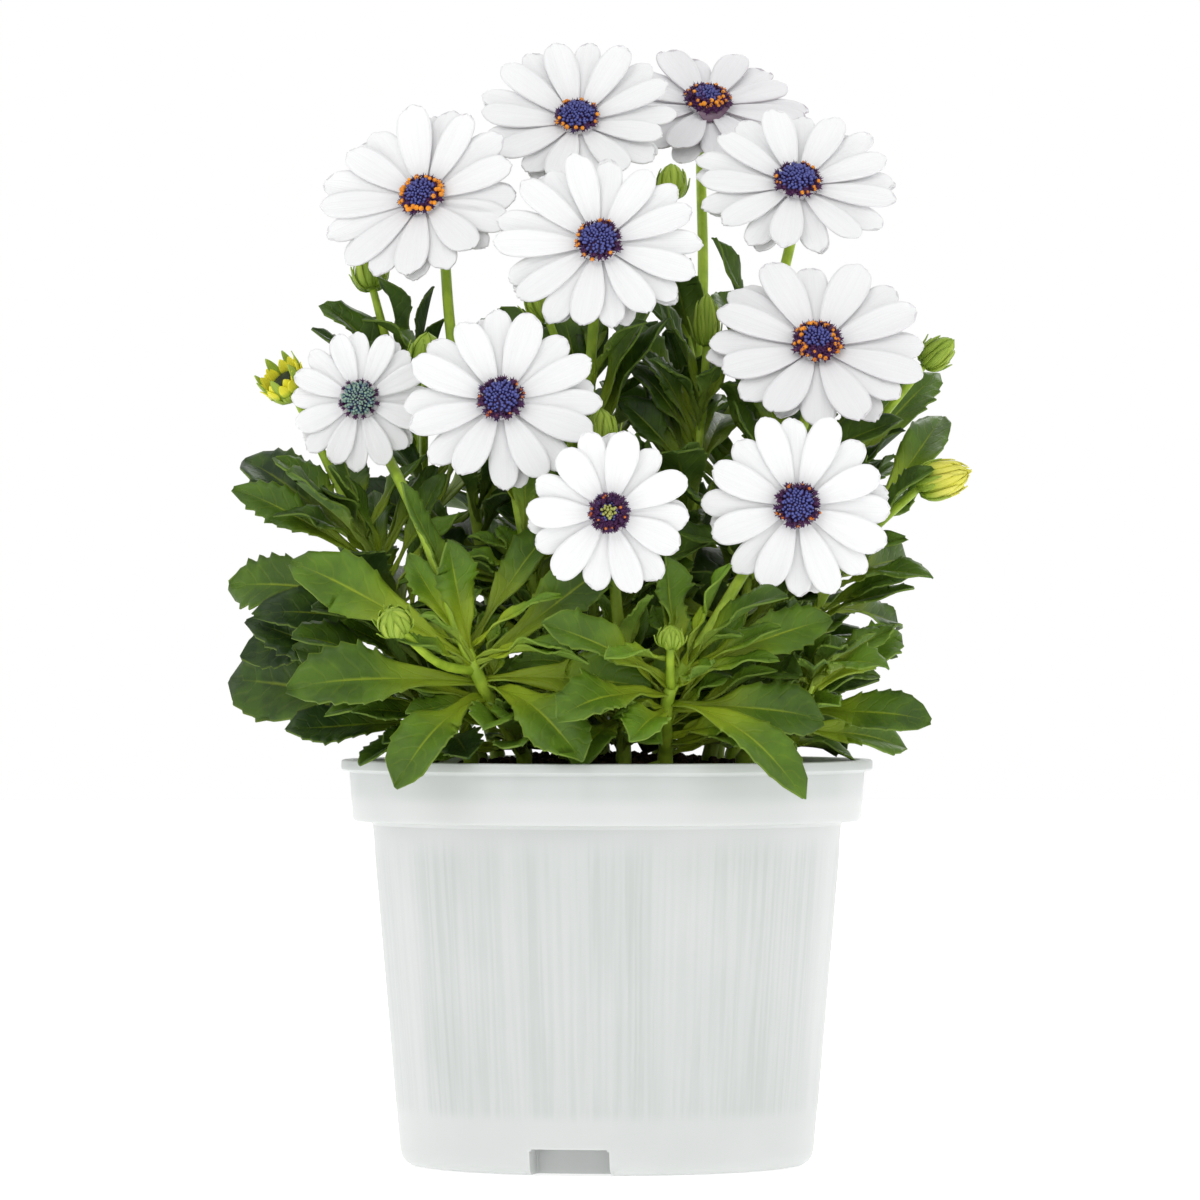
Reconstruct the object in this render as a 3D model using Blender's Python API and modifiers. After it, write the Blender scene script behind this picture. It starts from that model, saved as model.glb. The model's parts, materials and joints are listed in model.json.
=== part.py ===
"""A potted osteospermum: ten white daisy blooms on leafy shoots, in a round nursery pot.

Units are metres and +Z is up. The origin is the centre of the pot's flat underside, and the
viewer stands at -Y. A bearing of 0 degrees points at the viewer and 90 at the viewer's right.
"""

import math
import random
from collections import namedtuple

import bmesh
import bpy
from mathutils import Matrix, Vector, noise
from mathutils.bvhtree import BVHTree

MM = 0.001

# Pot
POT_HEIGHT = 99 * MM
LIP_RADIUS = 65 * MM
LIP_HEIGHT = 2.6 * MM
BAND_RADIUS = 63 * MM
BAND_FOOT_RADIUS = 62.2 * MM
BAND_FOOT = 84 * MM
BODY_RADIUS = 57.3 * MM
FOOT_RADIUS = 50.6 * MM
POT_WALL = 1.4 * MM
POT_STEPS = 32
DRAINS = 3
FIRST_DRAIN_BEARING = -10.5
DRAIN_WIDTH = 19.5 * MM
DRAIN_HEIGHT = 6.4 * MM
DRAIN_DEPTH = 12 * MM
DRAIN_HOLE_RADIUS = 3.2 * MM

# Soil
SOIL_EDGE = 93 * MM
SOIL_MOUND = 7 * MM
SOIL_ROUGHNESS = 1.1 * MM
SOIL_RINGS = (0.35, 0.7, 1.0)
SOIL_STEPS = 24
STEM_HOLE_DEPTH = 12 * MM
CLEARANCE = 0.3 * MM

# Plant
BLADE_THICKNESS = 0.6 * MM
STEM_RADIUS = 1.9 * MM
STALK_RADIUS = 1.25 * MM
TWIG_RADIUS = 0.9 * MM
CUP_DEPTH = 9 * MM
GOLDEN_ANGLE = 137.5
LEAF_MARGIN = 0.9 * MM
# Rows over a leaf: share of its length, then half widths to its left and right as shares of the widest.
# Teeth alternate from side to side.
LARGE_LEAF = ((0.3, 0.34, 0.36), (0.54, 0.9, 0.78), (0.73, 0.9, 1.04), (0.89, 0.74, 0.58))
SMALL_LEAF = ((0.32, 0.4, 0.42), (0.6, 1.02, 0.88), (0.83, 0.74, 0.86))
TOOTH_LEAN = 0.035
# Leaves turn their faces to the light, which comes from above and from the viewer's side
LIGHT = (0, -0.85, 0.55)
PETAL_ROWS = ((0.62, 1.0), (1.0, 0.5))

# Where each bloom hangs (millimetres), the way it faces, its reach and its petals
Bloom = namedtuple("Bloom", "name centre bearing lift reach petals cone disc")
BLOOMS = (
    Bloom("01", (-7.4, 36, 256.8), 0, 42, 25.5, 18, 13, 5.7),
    Bloom("02", (25.2, 60, 262), 8, 55, 25.5, 16, 4, 6.2),
    Bloom("03", (46.9, 20, 240.2), 4, 43, 25.5, 18, 8, 6.0),
    Bloom("04", (-45.2, 14, 236.6), -18, 31, 26.0, 17, 12, 5.8),
    Bloom("05", (-2.0, -10, 224.6), 0, 28, 25.5, 18, 6, 5.8),
    Bloom("06", (51.0, -14, 199.3), 3, 42, 28.0, 16, 8, 6.4),
    Bloom("07", (-60.0, -20, 186.4), -4, 11, 17.5, 16, 5, 5.1),
    Bloom("08", (-25.5, -34, 185.6), 0, 24, 24.0, 16, 8, 5.9),
    Bloom("09", (0.5, -57, 158.6), 0, 6, 20.0, 14, 5, 5.2),
    Bloom("10", (45.5, -46, 160.3), 4, 10, 23.0, 16, 6, 5.7),
)

# A bud, the height on its shoot where its twig leaves, where it sits, the way it points, and its colour
Bud = namedtuple("Bud", "foot_height at bearing lift length radius tip", defaults=(None,))
# A leaf set by hand: height on the stem, bearing, lift, length, width, arch, twist and roll
Leaf = namedtuple("Leaf", "height bearing lift length width arch twist roll", defaults=(0, 0))
# A shoot: its foot on the soil, the points its stem passes, what it carries, and its leaf rule
Shoot = namedtuple("Shoot", "name foot via bloom buds set_leaves count zone length lift turn")

SHOOTS = (
    Shoot("01", (-8, 17), ((-9, 20, 140), (-8, 30, 205)), "01", (), (), 4, (116, 190), 42, 56, 20),
    Shoot(
        "02", (13, 27), ((18, 38, 150), (24, 50, 215)), "02",
        (Bud(192, (15.9, 33, 238), 10, 78, 9, 3.8),),
        (), 4, (112, 200), 42, 54, 160,
    ),
    Shoot(
        "03", (27, 13), ((34, 20, 145), (40, 25, 200)), "03", (),
        (Leaf(190, -50, 74, 40, 12, 10, 20), Leaf(184, 60, 72, 36, 12, 12)), 4, (112, 172), 42, 54, 70,
    ),
    Shoot("04", (-20, 6), ((-30, 10, 145), (-38, 14, 200)), "04", (), (), 4, (116, 178), 42, 52, -150),
    Shoot(
        "05", (-1, -4), ((-4, 2, 150), (-4, 4, 195)), "05",
        (Bud(184, (-14.5, 5, 207), -60, 66, 10, 3.8), Bud(156, (-1.5, -21, 176), 0, 74, 9, 4.4)),
        (Leaf(172, 60, 68, 40, 14, 20, 10), Leaf(176, -150, 72, 38, 13, 20, -10)),
        3, (112, 164), 44, 56, 100,
    ),
    Shoot("06", (25, -8), ((33, -7, 135), (45, -4, 172)), "06", (), (), 4, (112, 164), 42, 44, 35),
    Shoot(
        "07", (-20, -24), ((-32, -43, 122), (-45, -33, 156)), "07",
        (Bud(121, (-50, -63, 131), -15, 40, 8, 4.4),),
        (
            Leaf(118, -66, 6, 48, 19, 25, 10, 20),
            Leaf(115, -30, -6, 42, 20, 50, -10),
            Leaf(117, 30, -2, 42, 19, 44, -18),
            Leaf(123, -86, 34, 50, 17, 18, 20, 25),
            Leaf(127, -40, 66, 44, 14, 10),
            Leaf(121, 84, 40, 46, 19, 14, -10, -30),
            Leaf(119, 68, 4, 42, 18, 30, -10, -25),
            Leaf(126, 120, 56, 40, 15, 12),
        ),
        2, (104, 112), 40, 20, 180,
    ),
    Shoot("08", (-10, -15), ((-16, -19, 130), (-22, -20, 163)), "08", (), (), 5, (108, 156), 42, 48, -60),
    Shoot(
        "09", (4, -30), ((4, -35, 118), (2, -38, 140)), "09",
        (), (Leaf(112, -35, 26, 34, 16, 30), Leaf(118, 40, 40, 28, 14, 30), Leaf(108, 10, 4, 30, 15, 40)),
        1, (104, 112), 34, 24, 170,
    ),
    Shoot(
        "10", (14, -33), ((15, -48, 116), (24, -44, 130), (36, -36, 149)), "10",
        (Bud(117, (15, -57, 127), 10, 66, 7, 4.2),),
        (
            Leaf(113, 36, 0, 48, 19, 56, 12),
            Leaf(115, -52, 8, 38, 19, 34, 10),
            Leaf(112, 66, 6, 48, 21, 34, -8, -20),
            Leaf(119, 84, 28, 50, 18, 26, -15, -25),
            Leaf(121, 52, 44, 36, 14, 30),
            Leaf(119, -24, 58, 30, 14, 12),
            Leaf(117, -80, 30, 38, 16, 24, 0, 25),
        ),
        2, (102, 110), 38, 12, -150,
    ),
    Shoot(
        "11", (-31, -6), ((-44, -9, 124), (-59, -11, 152)), None,
        (Bud(148, (-76, -8, 188), -50, 44, 9, 5.0, "yellow"),),
        (
            Leaf(138, -98, 10, 44, 19, 22, 10, 30),
            Leaf(146, -80, 34, 40, 13, 18, 20, 20),
            Leaf(150, -105, 40, 42, 17, 24, -10, 20),
            Leaf(132, -74, -4, 42, 18, 30, 0, 20),
            Leaf(146, -30, 40, 42, 17, 20),
        ),
        3, (114, 156), 40, 50, 10,
    ),
    Shoot(
        "12", (-27, 20), ((-42, 25, 150), (-50, 25, 192)), None,
        (Bud(190, (-58, 23, 215), -150, 72, 11, 4.4), Bud(168, (-44.5, -2, 193), 10, 68, 11, 4.4)),
        (Leaf(186, -70, 74, 34, 11, 6), Leaf(182, 40, 76, 34, 11, 8)),
        4, (114, 180), 42, 50, -120,
    ),
    Shoot(
        "13", (34, 1), ((48, -2, 130), (62, -6, 154)), None,
        (Bud(150, (76, -16, 166), 72, 14, 15, 5.8, "cream"),),
        (
            Leaf(144, 92, 12, 42, 19, 20, 0, -30),
            Leaf(154, 100, 48, 46, 17, 22, 20, -30),
            Leaf(136, 80, 0, 40, 18, 26, 10, -25),
            Leaf(140, 40, 20, 40, 17, 26, 10),
        ),
        3, (110, 150), 40, 46, -70,
    ),
    Shoot(
        "14", (31, 22), ((48, 20, 150), (60, 16, 176)), None,
        (Bud(174, (78, 10, 196), 80, 40, 11, 4.4),),
        (Leaf(164, 94, 46, 48, 16, 18, 10, -30), Leaf(170, 50, 60, 36, 14, 20)),
        4, (112, 166), 42, 46, 150,
    ),
    Shoot("15", (-9, 39), ((-16, 54, 130), (-20, 60, 172)), None, (), (), 7, (110, 172), 44, 48, 30),
    Shoot("16", (14, 43), ((26, 58, 128), (34, 64, 164)), None, (), (), 7, (108, 164), 44, 46, 80),
    Shoot(
        "17", (33, -20), ((46, -30, 112), (50, -34, 120)), None, (),
        (
            Leaf(111, 76, 4, 46, 20, 24, 0, -25), Leaf(107, 96, -2, 42, 17, 18, 10, -20),
            Leaf(116, 30, 30, 36, 17, 30), Leaf(114, 110, 36, 40, 17, 20, 0, -25),
        ),
        2, (104, 114), 38, 36, 200,
    ),
    Shoot(
        "18", (-33, -18), ((-42, -20, 108), (-46, -21, 116)), None, (),
        (
            Leaf(111, -94, 12, 56, 23, 20, 8, 35), Leaf(115, -112, 28, 46, 18, 20, 0, 30),
            Leaf(107, -72, -6, 38, 17, 20, 0, 10), Leaf(114, -60, 44, 40, 17, 20),
        ),
        2, (104, 112), 38, 34, 60,
    ),
    Shoot(
        "19", (15, 6), ((20, 6, 150), (23, 7, 182)), None,
        (Bud(181, (24.5, 7, 201), 0, 76, 12, 4.6),), (), 6, (114, 180), 44, 56, -20,
    ),
)


def mm(point):
    """A point given in millimetres, in metres."""
    return Vector(point) * MM


def heading(bearing, lift):
    """The unit direction of a bearing and a lift above the horizon, in degrees."""
    b, e = math.radians(bearing), math.radians(lift)
    return Vector((math.sin(b) * math.cos(e), -math.cos(b) * math.cos(e), math.sin(e)))


def upright(direction):
    """The unit normal of direction that points up most."""
    side = direction.cross(Vector((0, 0, 1)))
    if side.length < 1e-6:
        side = Vector((1, 0, 0))
    return side.cross(direction).normalized()


# Blades: leaves and petals
Blade = namedtuple("Blade", "root along up length width arch twist fold")


def blade_point(blade, s, t):
    """The point a share s along the blade's arched rib and t half widths to its side.

    t is in widths measured from the rib, so the caller gives the outline.
    """
    arch = math.radians(blade.arch) or 1e-6
    angle = arch * s
    rib = blade.along * (math.sin(angle) / arch) - blade.up * ((1 - math.cos(angle)) / arch)
    up = blade.up * math.cos(angle) + blade.along * math.sin(angle)
    side = blade.along.cross(blade.up)
    turn = math.radians(blade.twist) * s
    side, up = (
        side * math.cos(turn) + up * math.sin(turn),
        up * math.cos(turn) - side * math.sin(turn),
    )
    fold = math.radians(blade.fold)
    across = side * (t * math.cos(fold)) + up * (abs(t) * math.sin(fold))
    return blade.root + rib * blade.length + across * (blade.width / 2)


def leaf_rows(blade, outline):
    """Rows of points over a leaf, from its root to its tip, through its toothed outline."""
    rows = [[blade_point(blade, 0, 0)]]
    for share, left, right in outline:
        lean = TOOTH_LEAN if share > 0.5 else 0
        rows.append([
            blade_point(blade, share + lean, -left), blade_point(blade, share, 0), blade_point(blade, share + lean, right)
        ])
    return [*rows, [blade_point(blade, 1, 0)]]


def petal_rows(blade):
    """Rows of points over a petal, from its root to its blunt tip."""
    rows = [[blade_point(blade, share, -half), blade_point(blade, share, half)] for share, half in PETAL_ROWS]
    return [[blade_point(blade, 0, 0)], *rows]


def blade_mesh(rows):
    """An open surface through rows of one, two or three points, in triangles."""
    bm = bmesh.new()
    made = [[bm.verts.new(p) for p in row] for row in rows]
    for near, far in zip(made, made[1:]):
        if len(far) == 1:
            for left, right in zip(near, near[1:]):
                bm.faces.new((left, right, far[0]))
            continue
        if len(near) == 1:
            for left, right in zip(far, far[1:]):
                bm.faces.new((near[0], right, left))
            continue
        for i in range(len(near) - 1):
            bm.faces.new((near[i], near[i + 1], far[i]))
            bm.faces.new((near[i + 1], far[i + 1], far[i]))
    return bm


def obstacle(bm):
    """A search tree over the surface that a bmesh holds."""
    return BVHTree.FromBMesh(bm, epsilon=0.0)


def shell_tree(rows, margin):
    """A search tree over a blade made this much thicker to both sides."""
    bm = blade_mesh(rows)
    bm.normal_update()
    bm.verts.index_update()
    count = len(bm.verts)
    points = [v.co + v.normal * margin for v in bm.verts] + [v.co - v.normal * margin for v in bm.verts]
    faces = [[v.index for v in face.verts] for face in bm.faces]
    faces += [[index + count for index in face] for face in faces]
    for edge in (e for e in bm.edges if e.is_boundary):
        a, b = (v.index for v in edge.verts)
        faces.append([a, b, b + count, a + count])
    bm.free()
    return BVHTree.FromPolygons(points, faces)


# Smooth lines through a few points
def smooth_line(points, step):
    """Points about step apart on a Catmull-Rom curve through the given ones."""
    ends = [points[0] * 2 - points[1], *points, points[-1] * 2 - points[-2]]
    line = []
    for a, b, c, d in zip(ends, ends[1:], ends[2:], ends[3:]):
        count = max(1, round((c - b).length / step))
        for i in range(count):
            t = i / count
            line.append(
                0.5 * (2 * b + (c - a) * t + (2 * a - 5 * b + 4 * c - d) * t**2 + (3 * b - a - 3 * c + d) * t**3)
            )
    return [*line, points[-1]]


def point_at_height(line, height):
    """The point of a rising line at this height."""
    for a, b in zip(line, line[1:]):
        if a.z <= height <= b.z:
            return a.lerp(b, (height - a.z) / max(b.z - a.z, 1e-9))
    return line[-1] if height > line[-1].z else line[0]


STEM_STEP = 40 * MM


def bloom_named(name):
    return next(b for b in BLOOMS if b.name == name)


def foot_depth():
    """Height of the lower end of every stem, in its hole."""
    return SOIL_EDGE - STEM_HOLE_DEPTH + CLEARANCE


def stem_line(shoot):
    """The line of a shoot's stem, from its hole in the soil to its bloom or its tip."""
    x, y = shoot.foot
    points = [mm((x, y, 0)), mm((x, y, 0)), *(mm(p) for p in shoot.via)]
    points[0].z, points[1].z = foot_depth(), SOIL_EDGE + SOIL_MOUND
    if shoot.bloom:
        bloom = bloom_named(shoot.bloom)
        axis = heading(bloom.bearing, bloom.lift)
        points += [mm(bloom.centre) - axis * 17 * MM, mm(bloom.centre) - axis * 6 * MM]
    return [points[0], *smooth_line(points[1:], STEM_STEP)]


def twig_line(bud, stem):
    """The line of a bud's twig, from its shoot's stem to the bud."""
    start = point_at_height(stem, bud.foot_height * MM)
    end = mm(bud.at)
    axis = heading(bud.bearing, bud.lift)
    middle = start.lerp(end - axis * 5 * MM, 0.5) - Vector((0, 0, 1)) * 1.5 * MM
    return smooth_line([start, middle, end + axis * 1.0 * MM], 20 * MM)


# Objects
def material(name, colour, roughness):
    """A plain Principled material, made once."""
    found = bpy.data.materials.get(name)
    if found:
        return found
    made = bpy.data.materials.new(name)
    made.use_nodes = True
    shader = made.node_tree.nodes["Principled BSDF"]
    shader.inputs["Base Color"].default_value = (*colour, 1)
    shader.inputs["Roughness"].default_value = roughness
    return made


def add_mesh(name, bm, collection, look=None):
    """An object that holds the bmesh, which is freed."""
    mesh = bpy.data.meshes.new(name)
    bm.to_mesh(mesh)
    bm.free()
    obj = bpy.data.objects.new(name, mesh)
    collection.objects.link(obj)
    if look:
        mesh.materials.append(look)
    return obj


def add_blade(name, rows, collection):
    """A leaf or petal as an open surface that Solidify thickens."""
    obj = add_mesh(name, blade_mesh(rows), collection)
    thick = obj.modifiers.new("thickness", "SOLIDIFY")
    thick.thickness = BLADE_THICKNESS
    thick.offset = 0
    return obj


def add_tube(name, line, radii, collection, resolution=1):
    """A tapering round stem as a bevelled curve, made a mesh with its caps welded."""
    curve = bpy.data.curves.new(name, "CURVE")
    curve.dimensions = "3D"
    curve.bevel_depth = 1.0
    curve.bevel_resolution = resolution
    curve.use_fill_caps = True
    spline = curve.splines.new("POLY")
    spline.points.add(len(line) - 1)
    for point, place, radius in zip(spline.points, line, radii):
        point.co = (*place, 1)
        point.radius = radius
    guide = bpy.data.objects.new(name + "_line", curve)
    collection.objects.link(guide)
    bpy.context.view_layer.update()
    shape = guide.evaluated_get(bpy.context.evaluated_depsgraph_get())
    mesh = bpy.data.meshes.new_from_object(shape)
    bpy.data.objects.remove(guide)
    bm = bmesh.new()
    bm.from_mesh(mesh)
    bmesh.ops.remove_doubles(bm, verts=bm.verts[:], dist=0.01 * MM)
    bpy.data.meshes.remove(mesh)
    return add_mesh(name, bm, collection)


def turned(rings, steps, place):
    """A closed bmesh turned about place's Z axis from (radius, height, rib) rings, poles at both ends.

    rib is how far every second meridian stands out.
    """
    bm = bmesh.new()
    circles = []
    for radius, height, rib in rings:
        if radius == 0:
            circles.append([bm.verts.new(place @ Vector((0, 0, height)))])
            continue
        circles.append([
            bm.verts.new(place @ Vector((
                (radius + rib * (i % 2)) * math.cos(math.tau * i / steps),
                (radius + rib * (i % 2)) * math.sin(math.tau * i / steps),
                height,
            )))
            for i in range(steps)
        ])
    for low, high in zip(circles, circles[1:]):
        for i in range(steps):
            j = (i + 1) % steps
            if len(low) == 1:
                bm.faces.new((low[0], high[j], high[i]))
            elif len(high) == 1:
                bm.faces.new((low[i], low[j], high[0]))
            else:
                bm.faces.new((low[i], low[j], high[j]))
                bm.faces.new((low[i], high[j], high[i]))
    return bm


def facing_matrix(place, axis):
    """A frame at place whose Z is axis and whose X is level."""
    side = Vector((0, 0, 1)).cross(axis)
    side = side.normalized() if side.length > 1e-6 else Vector((1, 0, 0))
    frame = Matrix((side, axis.cross(side), axis)).transposed().to_4x4()
    frame.translation = place
    return frame


def joined(base, pieces, name, look, home):
    """base and the objects of the collection pieces as one solid, by a Boolean union."""
    if pieces.objects:
        union = base.modifiers.new("join", "BOOLEAN")
        union.operation = "UNION"
        union.operand_type = "COLLECTION"
        union.collection = pieces
        union.solver = "MANIFOLD"
    bpy.context.view_layer.update()
    mesh = bpy.data.meshes.new_from_object(base.evaluated_get(bpy.context.evaluated_depsgraph_get()))
    for obj in [*pieces.objects, base]:
        bpy.data.objects.remove(obj)
    bpy.data.collections.remove(pieces)
    mesh.name = name
    mesh.materials.clear()
    mesh.materials.append(look)
    obj = bpy.data.objects.new(name, mesh)
    home.objects.link(obj)
    return obj


def helper_collection(name):
    made = bpy.data.collections.new(name)
    bpy.context.scene.collection.children.link(made)
    return made


# Pot
def pot_profile():
    """The pot's wall as (radius, height) points, down the outside and up the inside."""
    body_top = BAND_FOOT - 0.9 * MM
    wall = POT_WALL
    return [
        (LIP_RADIUS, POT_HEIGHT),
        (LIP_RADIUS, POT_HEIGHT - LIP_HEIGHT),
        (BAND_RADIUS, POT_HEIGHT - LIP_HEIGHT - 0.4 * MM),
        (BAND_FOOT_RADIUS, BAND_FOOT + 0.6 * MM),
        (BODY_RADIUS + 0.5 * MM, BAND_FOOT),
        (BODY_RADIUS, body_top),
        (FOOT_RADIUS, 4 * MM),
        (FOOT_RADIUS - 1.2 * MM, 1.1 * MM),
        (FOOT_RADIUS - 3.6 * MM, 0),
        (0, 0),
        (0, wall),
        (FOOT_RADIUS - 4 * MM, wall),
        (FOOT_RADIUS - wall, 4.4 * MM),
        (BODY_RADIUS - wall, body_top + 0.5 * MM),
        (BAND_FOOT_RADIUS - wall - 0.5 * MM, BAND_FOOT + wall),
        (BAND_RADIUS - wall, POT_HEIGHT),
        (LIP_RADIUS, POT_HEIGHT),
    ]


def add_box(name, size, place, collection):
    """A block of this size, centred on place's origin and turned with it."""
    bm = bmesh.new()
    bmesh.ops.create_cube(bm, size=1.0, matrix=place @ Matrix.Diagonal((*size, 1)))
    return add_mesh(name, bm, collection)


def add_cylinder(name, radius, low, high, place, collection, steps=12):
    """An upright cylinder between two heights, at place's X and Y."""
    bm = bmesh.new()
    centre = Matrix.Translation((place.x, place.y, (low + high) / 2))
    bmesh.ops.create_cone(
        bm, cap_ends=True, segments=steps, radius1=radius, radius2=radius, depth=high - low, matrix=centre
    )
    return add_mesh(name, bm, collection)


def drain_frames():
    """One frame for each drain notch, at the foot's edge, with its Y axis pointing out."""
    for i in range(DRAINS):
        out = heading(FIRST_DRAIN_BEARING + 360 * i / DRAINS, 0)
        frame = Matrix((out.cross(Vector((0, 0, 1))), out, Vector((0, 0, 1)))).transposed().to_4x4()
        frame.translation = out * (FOOT_RADIUS - DRAIN_DEPTH / 2)
        yield frame


def cut(target, cutters):
    """Cuts the objects of a hidden collection from target."""
    for obj in cutters.objects:
        obj.hide_render = True
        obj.display_type = "WIRE"
    trim = target.modifiers.new("cut", "BOOLEAN")
    trim.operation = "DIFFERENCE"
    trim.operand_type = "COLLECTION"
    trim.collection = cutters


def make_pot(home):
    """The round pot, with a band and lip at the top and drain notches in its foot."""
    mesh = bpy.data.meshes.new("pot_profile")
    points = [(r, 0, z) for r, z in pot_profile()]
    mesh.from_pydata(points, [(i, i + 1) for i in range(len(points) - 1)], [])
    turned_pot = bpy.data.objects.new("pot_turned", mesh)
    bpy.context.scene.collection.objects.link(turned_pot)
    screw = turned_pot.modifiers.new("turn", "SCREW")
    screw.steps = screw.render_steps = POT_STEPS
    screw.use_smooth_shade = False
    screw.use_merge_vertices = True
    screw.merge_threshold = 0.01 * MM
    weld = turned_pot.modifiers.new("weld", "WELD")
    weld.merge_threshold = 0.01 * MM

    hoods = helper_collection("drain_hoods")
    for frame in drain_frames():
        size = (DRAIN_WIDTH + 2 * POT_WALL, DRAIN_DEPTH - POT_WALL, DRAIN_HEIGHT + POT_WALL - 0.5 * MM)
        lift = Matrix.Translation((0, -POT_WALL, size[2] / 2 + 0.5 * MM))
        add_box("hood", size, frame @ lift, hoods)
    pot = joined(turned_pot, hoods, "pot", material("pot_plastic", (0.8, 0.82, 0.81), 0.4), home)

    cutters = helper_collection("pot_cutters")
    for frame in drain_frames():
        size = (DRAIN_WIDTH, DRAIN_DEPTH, 2 * DRAIN_HEIGHT)
        add_box("notch_cutter", size, frame @ Matrix.Translation((0, POT_WALL, 0)), cutters)
        add_cylinder("drain_cutter", DRAIN_HOLE_RADIUS, 2 * MM, 12 * MM, frame.translation, cutters, 8)
    cut(pot, cutters)
    return pot


# Soil
def soil_radius(height):
    """The radius of the root ball at a height, clear of the pot's inner wall."""
    share = (height - 4.4 * MM) / (BAND_FOOT - 4.9 * MM)
    return FOOT_RADIUS + share * (BODY_RADIUS - FOOT_RADIUS) - POT_WALL - 2 * CLEARANCE


def make_soil(home):
    """The root ball: it fills the pot, mounds up in the middle and has a hole for each stem."""
    low = POT_WALL + CLEARANCE
    top = SOIL_EDGE
    neck = BAND_FOOT - 1.2 * MM
    wide = BAND_FOOT_RADIUS - POT_WALL - 1.6 * MM
    sides = [
        (0, low, 0), (FOOT_RADIUS - 5.5 * MM, low, 0), (soil_radius(6 * MM) - 1 * MM, 6 * MM, 0),
        (soil_radius(neck) - 0.3 * MM, neck, 0), (soil_radius(neck) - 0.3 * MM, BAND_FOOT + 1.4 * MM, 0),
        (wide, BAND_FOOT + POT_WALL + 1.2 * MM, 0),
    ]
    mound = [
        (wide * share, top + SOIL_MOUND * (1 - share**2), 0) for share in reversed(SOIL_RINGS)
    ]
    bm = turned([*sides, *mound, (0, top + SOIL_MOUND, 0)], SOIL_STEPS, Matrix.Identity(4))
    for vert in bm.verts:
        if vert.co.z > top + 0.1 * MM:
            vert.co.z += SOIL_ROUGHNESS * noise.noise(vert.co * 140)
    soil = add_mesh("soil", bm, home, material("soil", (0.05, 0.03, 0.02), 0.95))

    cutters = helper_collection("soil_cutters")
    for shoot in SHOOTS:
        x, y = shoot.foot
        radius = (STEM_RADIUS + CLEARANCE) / math.cos(math.pi / 6)
        low_end = SOIL_EDGE - STEM_HOLE_DEPTH
        add_cylinder("stem_hole_" + shoot.name, radius, low_end, 110 * MM, mm((x, y, 0)), cutters, 6)
    for frame in drain_frames():
        size = (
            DRAIN_WIDTH + 2 * POT_WALL + 2 * CLEARANCE,
            2 * DRAIN_DEPTH + CLEARANCE,
            DRAIN_HEIGHT + POT_WALL + CLEARANCE,
        )
        lift = Matrix.Translation((0, DRAIN_DEPTH / 2 - POT_WALL, size[2] / 2))
        add_box("hood_clearance", size, frame @ lift, cutters)
    cut(soil, cutters)
    return soil


# Blooms
CORE_RADIUS = 4.9 * MM
CORE_LOW, CORE_HIGH = -1.1 * MM, 1.7 * MM


def petal_blades(bloom):
    """The ring of petals: every second one stands a little above its neighbours."""
    draw = random.Random(int(bloom.name) * 7 + 3)
    frame = facing_matrix(mm(bloom.centre), heading(bloom.bearing, bloom.lift))
    blades = []
    for i in range(bloom.petals):
        raised = i % 2
        turn = math.tau * (i + draw.uniform(-0.16, 0.16)) / bloom.petals
        rise = math.radians(bloom.cone + draw.uniform(-1, 1) + 3.5 * raised)
        out = Vector((math.cos(turn), math.sin(turn), 0))
        along = out * math.cos(rise) + Vector((0, 0, math.sin(rise)))
        up = Vector((0, 0, math.cos(rise))) - out * math.sin(rise)
        root_out = 1.8 * MM
        root = frame @ (out * root_out + Vector((0, 0, (0.35 if raised else -0.5) * MM)))
        reach = bloom.reach * MM * draw.uniform(0.93, 1.03) - root_out
        width = bloom.reach * MM * 2.15 * draw.uniform(0.92, 1.06) * math.pi / (bloom.petals + 4.5)
        spin = frame.to_3x3()
        arch = draw.uniform(3, 7) if raised else draw.uniform(8, 13)
        blades.append(Blade(root, spin @ along, spin @ up, reach, width, arch, draw.uniform(-4, 4), 3))
    return blades


def make_rays(bloom, home):
    """The white petals of a bloom and the ring that holds them."""
    frame = facing_matrix(mm(bloom.centre), heading(bloom.bearing, bloom.lift))
    rings = [(0, CORE_LOW, 0), (CORE_RADIUS, CORE_LOW, 0), (CORE_RADIUS, CORE_HIGH, 0), (0, CORE_HIGH, 0)]
    core = add_mesh("core", turned(rings, 8, frame), home)
    petals = helper_collection("petals")
    for i, blade in enumerate(petal_blades(bloom)):
        add_blade(f"petal_{i}", petal_rows(blade), petals)
    return joined(core, petals, "rays_" + bloom.name, material("petal", (0.86, 0.86, 0.87), 0.55), home)


def make_disc(bloom, home):
    """The domed eye of a bloom, knobbled all over with florets."""
    frame = facing_matrix(mm(bloom.centre), heading(bloom.bearing, bloom.lift))
    radius, low, steps = bloom.disc * MM, CORE_HIGH + CLEARANCE, 10
    rings = [(0, low, 0), (radius * 0.92, low + 0.3 * MM, 0.5 * MM), (radius * 0.97, low + 1.2 * MM, 0.5 * MM)]
    for row, share in enumerate((0.78, 0.52, 0.26)):
        knob = 0.6 * MM * (1 if row % 2 else -1)
        rings.append((radius * share, low + 1.3 * MM + 1.5 * MM * math.cos(share * 1.4) + knob * 0.3, knob * 0.5))
    rings.append((0, low + 3.0 * MM, 0))
    bm = turned(rings, steps, Matrix.Identity(4))
    for i, vert in enumerate(bm.verts):
        reach = math.hypot(vert.co.x, vert.co.y) / radius
        if vert.co.z > low + 1.4 * MM and reach > 0.1:
            step = round(math.atan2(vert.co.y, vert.co.x) / math.tau * steps)
            vert.co.z += 0.4 * MM * (1 if step % 2 else -1)
    bm.transform(frame)
    return add_mesh("disc_" + bloom.name, bm, home, material("disc", (0.05, 0.04, 0.16), 0.6))


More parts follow.
